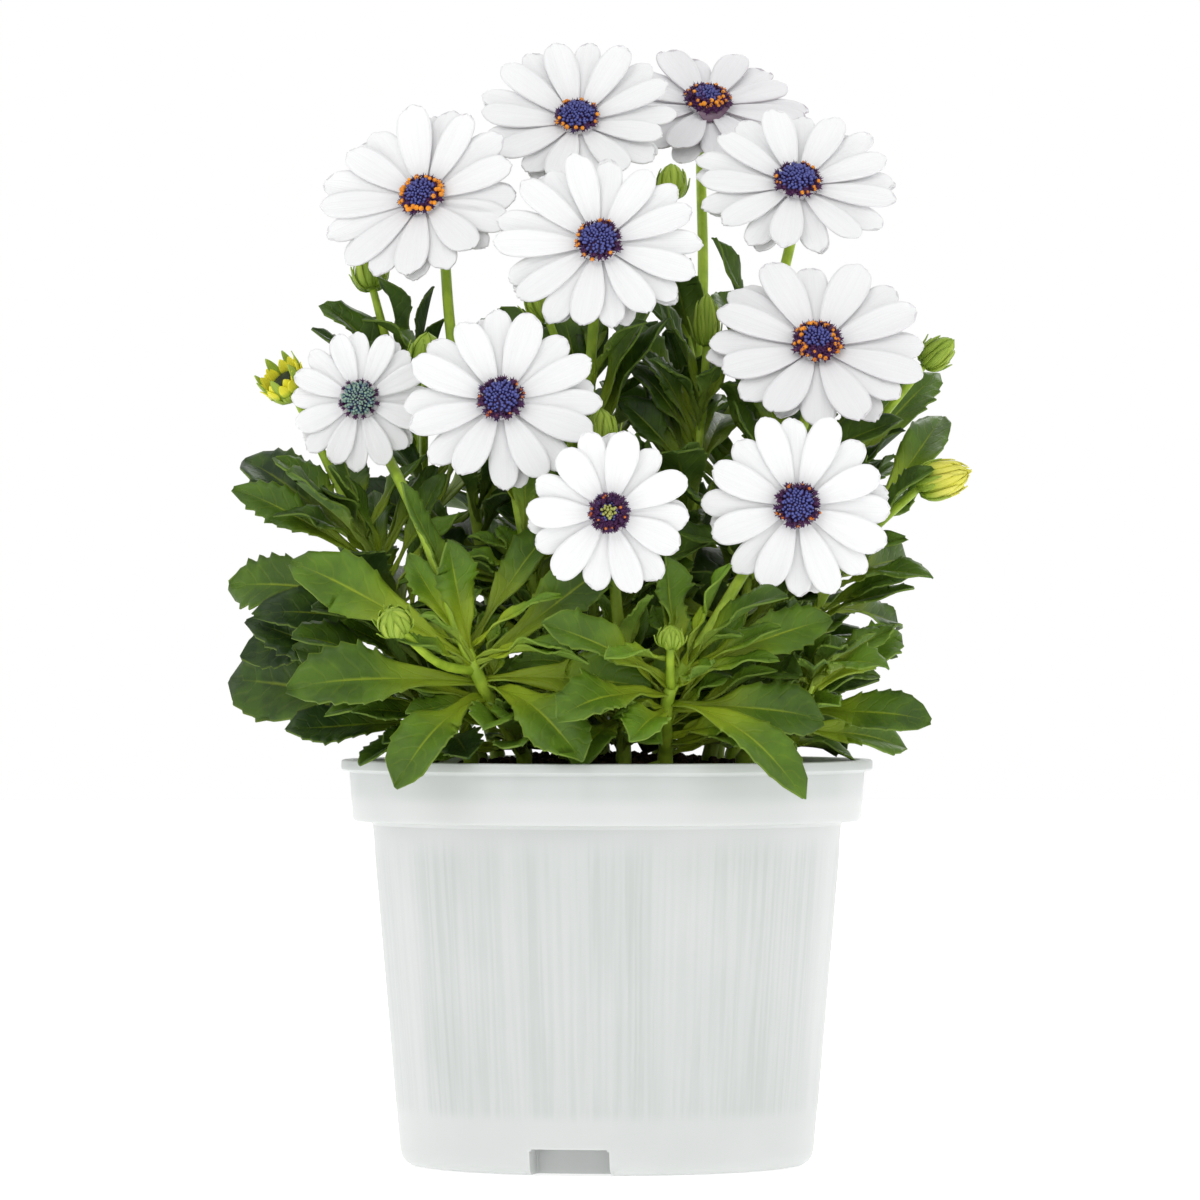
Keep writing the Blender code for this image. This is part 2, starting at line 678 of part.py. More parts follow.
# Shoots
def add_cup(bloom, pieces):
    """The green cup of bracts under a bloom."""
    frame = facing_matrix(mm(bloom.centre), heading(bloom.bearing, bloom.lift))
    top = CORE_LOW - CLEARANCE
    rings = [(0, top - CUP_DEPTH, 0), (3.4 * MM, top - 5 * MM, 0.3 * MM), (4.4 * MM, top, 0.6 * MM), (0, top, 0)]
    add_mesh("cup", turned(rings, 8, frame), pieces)


BUD_COLOURS = {"yellow": (0.75, 0.62, 0.05), "cream": (0.85, 0.82, 0.4)}
# A bud's outline: share of its length and of its radius, with its widest ring at the top of its cup
BUD_OUTLINE = ((-0.08, 0), (0.04, 0.62), (0.38, 0.96), (0.74, 0.74), (1, 0))
BUD_RIB = 0.11
WIDEST = 2


def bud_rings(bud, part="whole"):
    """The ribbed rings of a closed bud, of its cup or of its tip."""
    rings = [
        (share_out * bud.radius * MM, share * bud.length * MM, BUD_RIB * bud.radius * MM)
        for share, share_out in BUD_OUTLINE
    ]
    radius, height, rib = rings[WIDEST]
    if part == "cup":
        return [*rings[: WIDEST + 1], (0, height, 0)]
    if part == "tip":
        base = height + CLEARANCE
        return [(0, base, 0), (radius, base, rib), *rings[WIDEST + 1 :]]
    return rings


def add_bud(bud, stem, pieces):
    """A closed bud on its twig. Where its tip shows another colour, only its cup is green."""
    line = twig_line(bud, stem)
    radii = [STALK_RADIUS] + [TWIG_RADIUS] * (len(line) - 1)
    add_tube("twig", line, radii, pieces, 0)
    frame = facing_matrix(mm(bud.at), heading(bud.bearing, bud.lift))
    add_mesh("bud", turned(bud_rings(bud, "cup" if bud.tip else "whole"), 6, frame), pieces)


def make_bud_tips(home):
    """The coloured tips of opening and spent buds, each just above its green cup."""
    for shoot in SHOOTS:
        for bud in (b for b in shoot.buds if b.tip):
            frame = facing_matrix(mm(bud.at), heading(bud.bearing, bud.lift))
            look = material("bud_" + bud.tip, BUD_COLOURS[bud.tip], 0.6)
            add_mesh(bud.tip + "_bud", turned(bud_rings(bud, "tip"), 10, frame), home, look)


def stem_radii(line, shoot):
    """Stem radius at each point: full at the foot, thin under a bloom."""
    end = STALK_RADIUS if shoot.bloom else TWIG_RADIUS * 1.2
    foot, top = line[1].z, line[-1].z
    return [STEM_RADIUS if p.z <= foot else STEM_RADIUS + (end - STEM_RADIUS) * (p.z - foot) / (top - foot) for p in line]


def ruled_leaves(shoot):
    """Leaf wishes by the golden angle up the stem, smaller and more upright towards its tip."""
    draw = random.Random(int(shoot.name) * 13 + 5)
    low, high = shoot.zone
    wishes = []
    for i in range(shoot.count):
        share = i / max(shoot.count - 1, 1)
        wishes.append(Leaf(
            low + (high - low) * share,
            shoot.turn + GOLDEN_ANGLE * i + draw.uniform(-14, 14),
            shoot.lift * (0.35 + 0.75 * share) + draw.uniform(-8, 8),
            shoot.length * (1.1 - 0.25 * share) * draw.uniform(0.9, 1.08),
            shoot.length * 0.42 * (1.05 - 0.25 * share) * draw.uniform(0.9, 1.1),
            draw.uniform(16, 40),
            draw.uniform(-12, 12),
            draw.uniform(-22, 22),
        ))
    return wishes


# Leaf tips stay between these, left to right and to the back
ROOM_LEFT = -95 * MM
ROOM_RIGHT = 86 * MM
ROOM_BACK = 88 * MM
BENDS = [
    (turn, lift, size)
    for size in (1.0, 0.84, 0.7)
    for lift in (0, 12, -12, 24)
    for turn in (0, 14, -14, 28, -28, 46, -46)
]


def leaf_up(root, along, roll):
    """Where a leaf's face points: up and to the light, less so at the back of the plant."""
    light = Vector(LIGHT) + Vector((0, max(root.y, 0) / (70 * MM), 0)) + upright(along) * 0.6
    up = (light - along * light.dot(along)).normalized()
    side = up.cross(along)
    return up * math.cos(math.radians(roll)) + side * math.sin(math.radians(roll))


def leaf_blade(leaf, stem, bend=(0, 0, 1.0)):
    """The blade of a leaf that grows from a stem, turned and shrunk by bend."""
    turn, lift, size = bend
    along = heading(leaf.bearing + turn, min(leaf.lift + lift, 84))
    root = point_at_height(stem, leaf.height * MM)
    up = leaf_up(root, along, leaf.roll)
    return Blade(root, along, up, leaf.length * size * MM, leaf.width * size * MM, leaf.arch, leaf.twist, 14)


def in_room(blade):
    """Whether a leaf ends inside the plant's spread."""
    tip = blade_point(blade, 1, 0)
    return ROOM_LEFT <= tip.x <= ROOM_RIGHT and tip.y <= ROOM_BACK


def outline_of(leaf):
    return LARGE_LEAF if leaf.length >= 45 else SMALL_LEAF


def clear_trees(line, radii):
    """Search trees over a round stem, a little fatter than it is."""
    return shell_of_line(line, [r + 0.4 * MM for r in radii])


def shell_of_line(line, radii):
    """A six-sided tube as a search tree."""
    bm = bmesh.new()
    rings = []
    for i, (place, radius) in enumerate(zip(line, radii)):
        along = (line[min(i + 1, len(line) - 1)] - line[max(i - 1, 0)]).normalized()
        side = along.orthogonal().normalized()
        other = along.cross(side)
        rings.append([
            bm.verts.new(place + (side * math.cos(a) + other * math.sin(a)) * radius)
            for a in (math.tau * k / 6 for k in range(6))
        ])
    for low, high in zip(rings, rings[1:]):
        for k in range(6):
            bm.faces.new((low[k], low[(k + 1) % 6], high[(k + 1) % 6], high[k]))
    tree = obstacle(bm)
    bm.free()
    return tree


def turned_tree(rings, steps, frame):
    bm = turned(rings, steps, frame)
    tree = obstacle(bm)
    bm.free()
    return tree


def fixed_obstacles():
    """What leaves keep clear of, as (owner, search tree): pot, soil, stems, buds, blooms and the view of each bloom."""
    found = []
    rim = [(LIP_RADIUS + 0.8 * MM, POT_HEIGHT + 0.9 * MM, 0), (LIP_RADIUS + 0.8 * MM, POT_HEIGHT - 3 * MM, 0)]
    skirt = [(BAND_RADIUS + 0.8 * MM, POT_HEIGHT - 4 * MM, 0), (BODY_RADIUS, 0, 0)]
    inner = [(BAND_RADIUS - POT_WALL - 1 * MM, POT_HEIGHT + 0.9 * MM, 0), *rim, *skirt]
    found.append(("pot", turned_tree(list(reversed(inner)), POT_STEPS, Matrix.Identity(4))))
    ground = [
        (64 * MM, SOIL_EDGE + 1.6 * MM, 0), (30 * MM, SOIL_EDGE + SOIL_MOUND, 0), (0, SOIL_EDGE + SOIL_MOUND + 1.6 * MM, 0)
    ]
    found.append(("soil", turned_tree(ground, 24, Matrix.Identity(4))))
    for shoot in SHOOTS:
        line = stem_line(shoot)
        found.append((shoot.name, clear_trees(line, stem_radii(line, shoot))))
        for bud in shoot.buds:
            twig = twig_line(bud, line)
            found.append((shoot.name, clear_trees(twig, [TWIG_RADIUS] * len(twig))))
            frame = facing_matrix(mm(bud.at), heading(bud.bearing, bud.lift))
            fat = bud._replace(radius=bud.radius + 1.2, length=bud.length + 1.5)
            found.append(("bud", turned_tree(bud_rings(fat), 8, frame)))
    for bloom in BLOOMS:
        frame = facing_matrix(mm(bloom.centre), heading(bloom.bearing, bloom.lift))
        for blade in petal_blades(bloom):
            found.append(("petal", shell_tree(petal_rows(blade), 0.8 * MM)))
        cup = [(1.8 * MM, -11 * MM, 0), (6 * MM, -1 * MM, 0), (bloom.disc * MM, 5 * MM, 0)]
        found.append(("cup", turned_tree(cup, 8, frame)))
        gaze = facing_matrix(mm(bloom.centre), Vector((0, -1, 0)))
        sight = [(0, 8 * MM, 0), (0.62 * bloom.reach * MM, 8 * MM, 0), (0.55 * bloom.reach * MM, 45 * MM, 0), (0, 45 * MM, 0)]
        found.append(("sight", turned_tree(sight, 8, gaze)))
    return found


def grow_leaves():
    """The leaf blades of each shoot: each is bent, turned or shrunk until it is clear of all else."""
    found = fixed_obstacles()
    grown = {shoot.name: [] for shoot in SHOOTS}
    wishes = [(shoot, leaf, True) for shoot in SHOOTS for leaf in shoot.set_leaves]
    wishes += [(shoot, leaf, False) for shoot in SHOOTS for leaf in ruled_leaves(shoot)]
    lines = {shoot.name: stem_line(shoot) for shoot in SHOOTS}
    for shoot, leaf, by_hand in wishes:
        for bend in BENDS:
            blade = leaf_blade(leaf, lines[shoot.name], bend)
            if not in_room(blade):
                continue
            rows = leaf_rows(blade, outline_of(leaf))
            wider = blade._replace(length=blade.length + LEAF_MARGIN, width=blade.width + 2 * LEAF_MARGIN)
            tree = shell_tree(leaf_rows(wider, outline_of(leaf)), LEAF_MARGIN)
            if all(owner == shoot.name or not tree.overlap(other) for owner, other in found):
                grown[shoot.name].append((blade, outline_of(leaf)))
                bm = blade_mesh(rows)
                found.append(("leaf of " + shoot.name, obstacle(bm)))
                bm.free()
                break
        else:
            print("no room for a leaf on shoot", shoot.name, "at", round(leaf.height), "by hand" if by_hand else "")
    return grown


def make_shoot(shoot, leaves, home):
    """One green shoot: stem, leaves, cup and buds, fused."""
    line = stem_line(shoot)
    stem = add_tube("stem", line, stem_radii(line, shoot), home)
    pieces = helper_collection("pieces")
    for i, (blade, outline) in enumerate(leaves):
        add_blade(f"leaf_{i}", leaf_rows(blade, outline), pieces)
    for bud in shoot.buds:
        add_bud(bud, line, pieces)
    if shoot.bloom:
        add_cup(bloom_named(shoot.bloom), pieces)
    return joined(stem, pieces, "shoot_" + shoot.name, material("foliage", (0.1, 0.24, 0.04), 0.45), home)


def main():
    for obj in list(bpy.data.objects):
        bpy.data.objects.remove(obj)
    home = helper_collection("potted_osteospermum")
    make_pot(home)
    make_soil(home)
    for bloom in BLOOMS:
        make_rays(bloom, home)
        make_disc(bloom, home)
    leaves = grow_leaves()
    for shoot in SHOOTS:
        make_shoot(shoot, leaves[shoot.name], home)
    make_bud_tips(home)


main()
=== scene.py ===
"""The looks of a potted osteospermum: ten white daisies with blue eyes over a leafy green mound.

Units are metres and +Z is up. The plan of blooms, buds, shoots and leaves is the same as the
solids', and each bloom, eye, shoot and bud here is a finer piece in the same place.
"""

import json
import math
import random
from collections import namedtuple

import bmesh
import bpy
import numpy as np
from mathutils import Matrix, Vector, noise
from mathutils.bvhtree import BVHTree

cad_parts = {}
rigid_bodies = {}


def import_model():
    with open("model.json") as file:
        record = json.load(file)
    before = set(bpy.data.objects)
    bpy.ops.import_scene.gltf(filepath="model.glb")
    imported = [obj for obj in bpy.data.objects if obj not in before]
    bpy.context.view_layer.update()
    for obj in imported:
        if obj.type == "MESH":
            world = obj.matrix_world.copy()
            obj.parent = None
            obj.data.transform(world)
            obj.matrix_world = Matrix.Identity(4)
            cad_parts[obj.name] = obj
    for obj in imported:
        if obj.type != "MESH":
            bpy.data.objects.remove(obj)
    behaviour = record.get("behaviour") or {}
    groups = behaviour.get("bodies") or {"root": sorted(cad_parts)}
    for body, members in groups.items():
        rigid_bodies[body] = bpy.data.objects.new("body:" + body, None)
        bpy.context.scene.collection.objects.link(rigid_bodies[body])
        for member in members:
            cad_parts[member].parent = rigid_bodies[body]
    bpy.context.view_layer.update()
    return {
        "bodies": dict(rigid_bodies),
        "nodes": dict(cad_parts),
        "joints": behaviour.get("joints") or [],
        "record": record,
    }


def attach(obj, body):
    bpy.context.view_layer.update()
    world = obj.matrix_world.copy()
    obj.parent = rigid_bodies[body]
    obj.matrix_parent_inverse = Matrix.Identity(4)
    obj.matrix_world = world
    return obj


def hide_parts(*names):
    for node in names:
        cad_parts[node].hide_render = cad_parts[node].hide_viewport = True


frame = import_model()

MM = 0.001

# Pot
POT_HEIGHT = 99 * MM
LIP_RADIUS = 65 * MM
LIP_HEIGHT = 2.6 * MM
BAND_RADIUS = 63 * MM
BAND_FOOT_RADIUS = 62.2 * MM
BAND_FOOT = 84 * MM
BODY_RADIUS = 57.3 * MM
FOOT_RADIUS = 50.6 * MM
POT_WALL = 1.4 * MM
POT_STEPS = 32
DRAINS = 3
FIRST_DRAIN_BEARING = -10.5
DRAIN_WIDTH = 19.5 * MM
DRAIN_HEIGHT = 6.4 * MM
DRAIN_DEPTH = 12 * MM
DRAIN_HOLE_RADIUS = 3.2 * MM

# Soil
SOIL_EDGE = 93 * MM
SOIL_MOUND = 7 * MM
SOIL_ROUGHNESS = 1.1 * MM
STEM_HOLE_DEPTH = 12 * MM
CLEARANCE = 0.3 * MM

# Plant
STEM_RADIUS = 1.9 * MM
STALK_RADIUS = 1.25 * MM
TWIG_RADIUS = 0.9 * MM
CUP_DEPTH = 9 * MM
GOLDEN_ANGLE = 137.5
LEAF_MARGIN = 0.9 * MM
# Rows over a leaf: share of its length, then half widths to its left and right as shares of the widest.
# Teeth alternate from side to side.
LARGE_LEAF = ((0.3, 0.34, 0.36), (0.54, 0.9, 0.78), (0.73, 0.9, 1.04), (0.89, 0.74, 0.58))
SMALL_LEAF = ((0.32, 0.4, 0.42), (0.6, 1.02, 0.88), (0.83, 0.74, 0.86))
TOOTH_LEAN = 0.035
# Leaves turn their faces to the light, which comes from above and from the viewer's side
LIGHT = (0, -0.85, 0.55)
PETAL_ROWS = ((0.62, 1.0), (1.0, 0.5))

# Where each bloom hangs (millimetres), the way it faces, its reach and its petals
Bloom = namedtuple("Bloom", "name centre bearing lift reach petals cone disc")
BLOOMS = (
    Bloom("01", (-7.4, 36, 256.8), 0, 42, 25.5, 18, 13, 5.7),
    Bloom("02", (25.2, 60, 262), 8, 55, 25.5, 16, 4, 6.2),
    Bloom("03", (46.9, 20, 240.2), 4, 43, 25.5, 18, 8, 6.0),
    Bloom("04", (-45.2, 14, 236.6), -18, 31, 26.0, 17, 12, 5.8),
    Bloom("05", (-2.0, -10, 224.6), 0, 28, 25.5, 18, 6, 5.8),
    Bloom("06", (51.0, -14, 199.3), 3, 42, 28.0, 16, 8, 6.4),
    Bloom("07", (-60.0, -20, 186.4), -4, 11, 17.5, 16, 5, 5.1),
    Bloom("08", (-25.5, -34, 185.6), 0, 24, 24.0, 16, 8, 5.9),
    Bloom("09", (0.5, -57, 158.6), 0, 6, 20.0, 14, 5, 5.2),
    Bloom("10", (45.5, -46, 160.3), 4, 10, 23.0, 16, 6, 5.7),
)

# A bud, the height on its shoot where its twig leaves, where it sits, the way it points, and its colour
Bud = namedtuple("Bud", "foot_height at bearing lift length radius tip", defaults=(None,))
# A leaf: height on the stem, bearing, lift, length, width, arch, twist and roll
Leaf = namedtuple("Leaf", "height bearing lift length width arch twist roll", defaults=(0, 0))
# A shoot: its foot on the soil, the points its stem passes, what it carries, and its leaf rule
Shoot = namedtuple("Shoot", "name foot via bloom buds set_leaves count zone length lift turn")

SHOOTS = (
    Shoot("01", (-8, 17), ((-9, 20, 140), (-8, 30, 205)), "01", (), (), 4, (116, 190), 42, 56, 20),
    Shoot(
        "02", (13, 27), ((18, 38, 150), (24, 50, 215)), "02",
        (Bud(192, (15.9, 33, 238), 10, 78, 9, 3.8),),
        (), 4, (112, 200), 42, 54, 160,
    ),
    Shoot(
        "03", (27, 13), ((34, 20, 145), (40, 25, 200)), "03", (),
        (Leaf(190, -50, 74, 40, 12, 10, 20), Leaf(184, 60, 72, 36, 12, 12)), 4, (112, 172), 42, 54, 70,
    ),
    Shoot("04", (-20, 6), ((-30, 10, 145), (-38, 14, 200)), "04", (), (), 4, (116, 178), 42, 52, -150),
    Shoot(
        "05", (-1, -4), ((-4, 2, 150), (-4, 4, 195)), "05",
        (Bud(184, (-14.5, 5, 207), -60, 66, 10, 3.8), Bud(156, (-1.5, -21, 176), 0, 74, 9, 4.4)),
        (Leaf(172, 60, 68, 40, 14, 20, 10), Leaf(176, -150, 72, 38, 13, 20, -10)),
        3, (112, 164), 44, 56, 100,
    ),
    Shoot("06", (25, -8), ((33, -7, 135), (45, -4, 172)), "06", (), (), 4, (112, 164), 42, 44, 35),
    Shoot(
        "07", (-20, -24), ((-32, -43, 122), (-45, -33, 156)), "07",
        (Bud(121, (-50, -63, 131), -15, 40, 8, 4.4),),
        (
            Leaf(118, -66, 6, 48, 19, 25, 10, 20),
            Leaf(115, -30, -6, 42, 20, 50, -10),
            Leaf(117, 30, -2, 42, 19, 44, -18),
            Leaf(123, -86, 34, 50, 17, 18, 20, 25),
            Leaf(127, -40, 66, 44, 14, 10),
            Leaf(121, 84, 40, 46, 19, 14, -10, -30),
            Leaf(119, 68, 4, 42, 18, 30, -10, -25),
            Leaf(126, 120, 56, 40, 15, 12),
        ),
        2, (104, 112), 40, 20, 180,
    ),
    Shoot("08", (-10, -15), ((-16, -19, 130), (-22, -20, 163)), "08", (), (), 5, (108, 156), 42, 48, -60),
    Shoot(
        "09", (4, -30), ((4, -35, 118), (2, -38, 140)), "09",
        (), (Leaf(112, -35, 26, 34, 16, 30), Leaf(118, 40, 40, 28, 14, 30), Leaf(108, 10, 4, 30, 15, 40)),
        1, (104, 112), 34, 24, 170,
    ),
    Shoot(
        "10", (14, -33), ((15, -48, 116), (24, -44, 130), (36, -36, 149)), "10",
        (Bud(117, (15, -57, 127), 10, 66, 7, 4.2),),
        (
            Leaf(113, 36, 0, 48, 19, 56, 12),
            Leaf(115, -52, 8, 38, 19, 34, 10),
            Leaf(112, 66, 6, 48, 21, 34, -8, -20),
            Leaf(119, 84, 28, 50, 18, 26, -15, -25),
            Leaf(121, 52, 44, 36, 14, 30),
            Leaf(119, -24, 58, 30, 14, 12),
            Leaf(117, -80, 30, 38, 16, 24, 0, 25),
        ),
        2, (102, 110), 38, 12, -150,
    ),
    Shoot(
        "11", (-31, -6), ((-44, -9, 124), (-59, -11, 152)), None,
        (Bud(148, (-76, -8, 188), -50, 44, 9, 5.0, "yellow"),),
        (
            Leaf(138, -98, 10, 44, 19, 22, 10, 30),
            Leaf(146, -80, 34, 40, 13, 18, 20, 20),
            Leaf(150, -105, 40, 42, 17, 24, -10, 20),
            Leaf(132, -74, -4, 42, 18, 30, 0, 20),
            Leaf(146, -30, 40, 42, 17, 20),
        ),
        3, (114, 156), 40, 50, 10,
    ),
    Shoot(
        "12", (-27, 20), ((-42, 25, 150), (-50, 25, 192)), None,
        (Bud(190, (-58, 23, 215), -150, 72, 11, 4.4), Bud(168, (-44.5, -2, 193), 10, 68, 11, 4.4)),
        (Leaf(186, -70, 74, 34, 11, 6), Leaf(182, 40, 76, 34, 11, 8)),
        4, (114, 180), 42, 50, -120,
    ),
    Shoot(
        "13", (34, 1), ((48, -2, 130), (62, -6, 154)), None,
        (Bud(150, (76, -16, 166), 72, 14, 15, 5.8, "cream"),),
        (
            Leaf(144, 92, 12, 42, 19, 20, 0, -30),
            Leaf(154, 100, 48, 46, 17, 22, 20, -30),
            Leaf(136, 80, 0, 40, 18, 26, 10, -25),
            Leaf(140, 40, 20, 40, 17, 26, 10),
        ),
        3, (110, 150), 40, 46, -70,
    ),
    Shoot(
        "14", (31, 22), ((48, 20, 150), (60, 16, 176)), None,
        (Bud(174, (78, 10, 196), 80, 40, 11, 4.4),),
        (Leaf(164, 94, 46, 48, 16, 18, 10, -30), Leaf(170, 50, 60, 36, 14, 20)),
        4, (112, 166), 42, 46, 150,
    ),
    Shoot("15", (-9, 39), ((-16, 54, 130), (-20, 60, 172)), None, (), (), 7, (110, 172), 44, 48, 30),
    Shoot("16", (14, 43), ((26, 58, 128), (34, 64, 164)), None, (), (), 7, (108, 164), 44, 46, 80),
    Shoot(
        "17", (33, -20), ((46, -30, 112), (50, -34, 120)), None, (),
        (
            Leaf(111, 76, 4, 46, 20, 24, 0, -25), Leaf(107, 96, -2, 42, 17, 18, 10, -20),
            Leaf(116, 30, 30, 36, 17, 30), Leaf(114, 110, 36, 40, 17, 20, 0, -25),
        ),
        2, (104, 114), 38, 36, 200,
    ),
    Shoot(
        "18", (-33, -18), ((-42, -20, 108), (-46, -21, 116)), None, (),
        (
            Leaf(111, -94, 12, 56, 23, 20, 8, 35), Leaf(115, -112, 28, 46, 18, 20, 0, 30),
            Leaf(107, -72, -6, 38, 17, 20, 0, 10), Leaf(114, -60, 44, 40, 17, 20),
        ),
        2, (104, 112), 38, 34, 60,
    ),
    Shoot(
        "19", (15, 6), ((20, 6, 150), (23, 7, 182)), None,
        (Bud(181, (24.5, 7, 201), 0, 76, 12, 4.6),), (), 6, (114, 180), 44, 56, -20,
    ),
)


def mm(point):
    """A point given in millimetres, in metres."""
    return Vector(point) * MM


def heading(bearing, lift):
    """The unit direction of a bearing and a lift above the horizon, in degrees."""
    b, e = math.radians(bearing), math.radians(lift)
    return Vector((math.sin(b) * math.cos(e), -math.cos(b) * math.cos(e), math.sin(e)))


def upright(direction):
    """The unit normal of direction that points up most."""
    side = direction.cross(Vector((0, 0, 1)))
    if side.length < 1e-6:
        side = Vector((1, 0, 0))
    return side.cross(direction).normalized()


# Blades: leaves and petals
Blade = namedtuple("Blade", "root along up length width arch twist fold")


def blade_point(blade, s, t):
    """The point a share s along the blade's arched rib and t half widths to its side.

    t is in widths measured from the rib, so the caller gives the outline.
    """
    arch = math.radians(blade.arch) or 1e-6
    angle = arch * s
    rib = blade.along * (math.sin(angle) / arch) - blade.up * ((1 - math.cos(angle)) / arch)
    up = blade.up * math.cos(angle) + blade.along * math.sin(angle)
    side = blade.along.cross(blade.up)
    turn = math.radians(blade.twist) * s
    side, up = (
        side * math.cos(turn) + up * math.sin(turn),
        up * math.cos(turn) - side * math.sin(turn),
    )
    fold = math.radians(blade.fold)
    across = side * (t * math.cos(fold)) + up * (abs(t) * math.sin(fold))
    return blade.root + rib * blade.length + across * (blade.width / 2)


def leaf_rows(blade, outline):
    """Rows of points over a leaf, from its root to its tip, through its toothed outline."""
    rows = [[blade_point(blade, 0, 0)]]
    for share, left, right in outline:
        teeth = share + (TOOTH_LEAN if share > 0.5 else 0)
        spots = ((teeth, -left), (share, 0), (teeth, right))
        rows.append([blade_point(blade, s, t) for s, t in spots])
    return [*rows, [blade_point(blade, 1, 0)]]


def petal_rows(blade):
    """Rows of points over a petal, from its root to its blunt tip."""
    rows = [[blade_point(blade, share, -half), blade_point(blade, share, half)] for share, half in PETAL_ROWS]
    return [[blade_point(blade, 0, 0)], *rows]


def blade_mesh(rows):
    """An open surface through rows of one, two or three points, in triangles."""
    bm = bmesh.new()
    made = [[bm.verts.new(p) for p in row] for row in rows]
    for near, far in zip(made, made[1:]):
        if len(far) == 1:
            for left, right in zip(near, near[1:]):
                bm.faces.new((left, right, far[0]))
            continue
        if len(near) == 1:
            for left, right in zip(far, far[1:]):
                bm.faces.new((near[0], right, left))
            continue
        for i in range(len(near) - 1):
            bm.faces.new((near[i], near[i + 1], far[i]))
            bm.faces.new((near[i + 1], far[i + 1], far[i]))
    return bm


def shell_tree(rows, margin):
    """A search tree over a blade made this much thicker to both sides."""
    bm = blade_mesh(rows)
    bm.normal_update()
    bm.verts.index_update()
    count = len(bm.verts)
    points = [v.co + v.normal * margin for v in bm.verts] + [v.co - v.normal * margin for v in bm.verts]
    faces = [[v.index for v in face.verts] for face in bm.faces]
    faces += [[index + count for index in face] for face in faces]
    for edge in (e for e in bm.edges if e.is_boundary):
        a, b = (v.index for v in edge.verts)
        faces.append([a, b, b + count, a + count])
    bm.free()
    return BVHTree.FromPolygons(points, faces)


# Smooth lines through a few points
def smooth_line(points, step):
    """Points about step apart on a Catmull-Rom curve through the given ones."""
    ends = [points[0] * 2 - points[1], *points, points[-1] * 2 - points[-2]]
    line = []
    for a, b, c, d in zip(ends, ends[1:], ends[2:], ends[3:]):
        count = max(1, round((c - b).length / step))
        for i in range(count):
            t = i / count
            square, cube = 2 * a - 5 * b + 4 * c - d, 3 * b - a - 3 * c + d
            line.append(0.5 * (2 * b + (c - a) * t + square * t**2 + cube * t**3))
    return [*line, points[-1]]


def point_at_height(line, height):
    """The point of a rising line at this height."""
    for a, b in zip(line, line[1:]):
        if a.z <= height <= b.z:
            return a.lerp(b, (height - a.z) / max(b.z - a.z, 1e-9))
    return line[-1] if height > line[-1].z else line[0]


# The solids' stems and twigs pass a point about this often
STEM_STEP, TWIG_STEP = 40 * MM, 20 * MM
# How far behind a bloom its stem comes into line with it, and where it ends (millimetres)
NECK_FOOT, NECK_TOP = 17, 6
# A twig comes to its bud from this far behind it, sags by this much and ends this far inside it (millimetres)
TWIG_NECK, TWIG_SAG, TWIG_END = 5, 1.5, 1.0


def bloom_named(name):
    """The bloom with this name."""
    return next(b for b in BLOOMS if b.name == name)


def stem_line(shoot):
    """The line of a shoot's stem, from its hole in the soil to its bloom or its tip."""
    x, y = shoot.foot
    points = [mm((x, y, 0)), mm((x, y, 0)), *(mm(p) for p in shoot.via)]
    points[0].z, points[1].z = SOIL_EDGE - STEM_HOLE_DEPTH + CLEARANCE, SOIL_EDGE + SOIL_MOUND
    if shoot.bloom:
        bloom = bloom_named(shoot.bloom)
        axis = heading(bloom.bearing, bloom.lift)
        points += [mm(bloom.centre) - axis * back * MM for back in (NECK_FOOT, NECK_TOP)]
    return [points[0], *smooth_line(points[1:], STEM_STEP)]


def twig_line(bud, stem):
    """The line of a bud's twig, from its shoot's stem to the bud."""
    start = point_at_height(stem, bud.foot_height * MM)
    end = mm(bud.at)
    axis = heading(bud.bearing, bud.lift)
    middle = start.lerp(end - axis * TWIG_NECK * MM, 0.5) - Vector((0, 0, 1)) * TWIG_SAG * MM
    return smooth_line([start, middle, end + axis * TWIG_END * MM], TWIG_STEP)


def turned(rings, steps, place):
    """A closed bmesh turned about place's Z axis from (radius, height, rib) rings, poles at both ends.

    rib is how far every second meridian stands out.
    """
    bm = bmesh.new()
    circles = []
    for radius, height, rib in rings:
        if radius == 0:
            circles.append([bm.verts.new(place @ Vector((0, 0, height)))])
            continue
        circle = []
        for i in range(steps):
            angle, reach = math.tau * i / steps, radius + rib * (i % 2)
            spot = Vector((reach * math.cos(angle), reach * math.sin(angle), height))
            circle.append(bm.verts.new(place @ spot))
        circles.append(circle)
    for low, high in zip(circles, circles[1:]):
        for i in range(steps):
            j = (i + 1) % steps
            if len(low) == 1:
                bm.faces.new((low[0], high[j], high[i]))
            elif len(high) == 1:
                bm.faces.new((low[i], low[j], high[0]))
            else:
                bm.faces.new((low[i], low[j], high[j]))
                bm.faces.new((low[i], high[j], high[i]))
    return bm


def facing_matrix(place, axis):
    """A frame at place whose Z is axis and whose X is level."""
    side = Vector((0, 0, 1)).cross(axis)
    side = side.normalized() if side.length > 1e-6 else Vector((1, 0, 0))
    frame = Matrix((side, axis.cross(side), axis)).transposed().to_4x4()
    frame.translation = place
    return frame


def bloom_frame(bloom):
    """A bloom's own frame: its Z axis points out of the eye."""
    return facing_matrix(mm(bloom.centre), heading(bloom.bearing, bloom.lift))


def bud_frame(bud):
    """A bud's own frame: its Z axis points to the bud's tip."""
    return facing_matrix(mm(bud.at), heading(bud.bearing, bud.lift))


# The short core that holds a bloom's petals and carries its eye
CORE_RADIUS = 4.9 * MM
CORE_LOW, CORE_HIGH = -1.1 * MM, 1.7 * MM
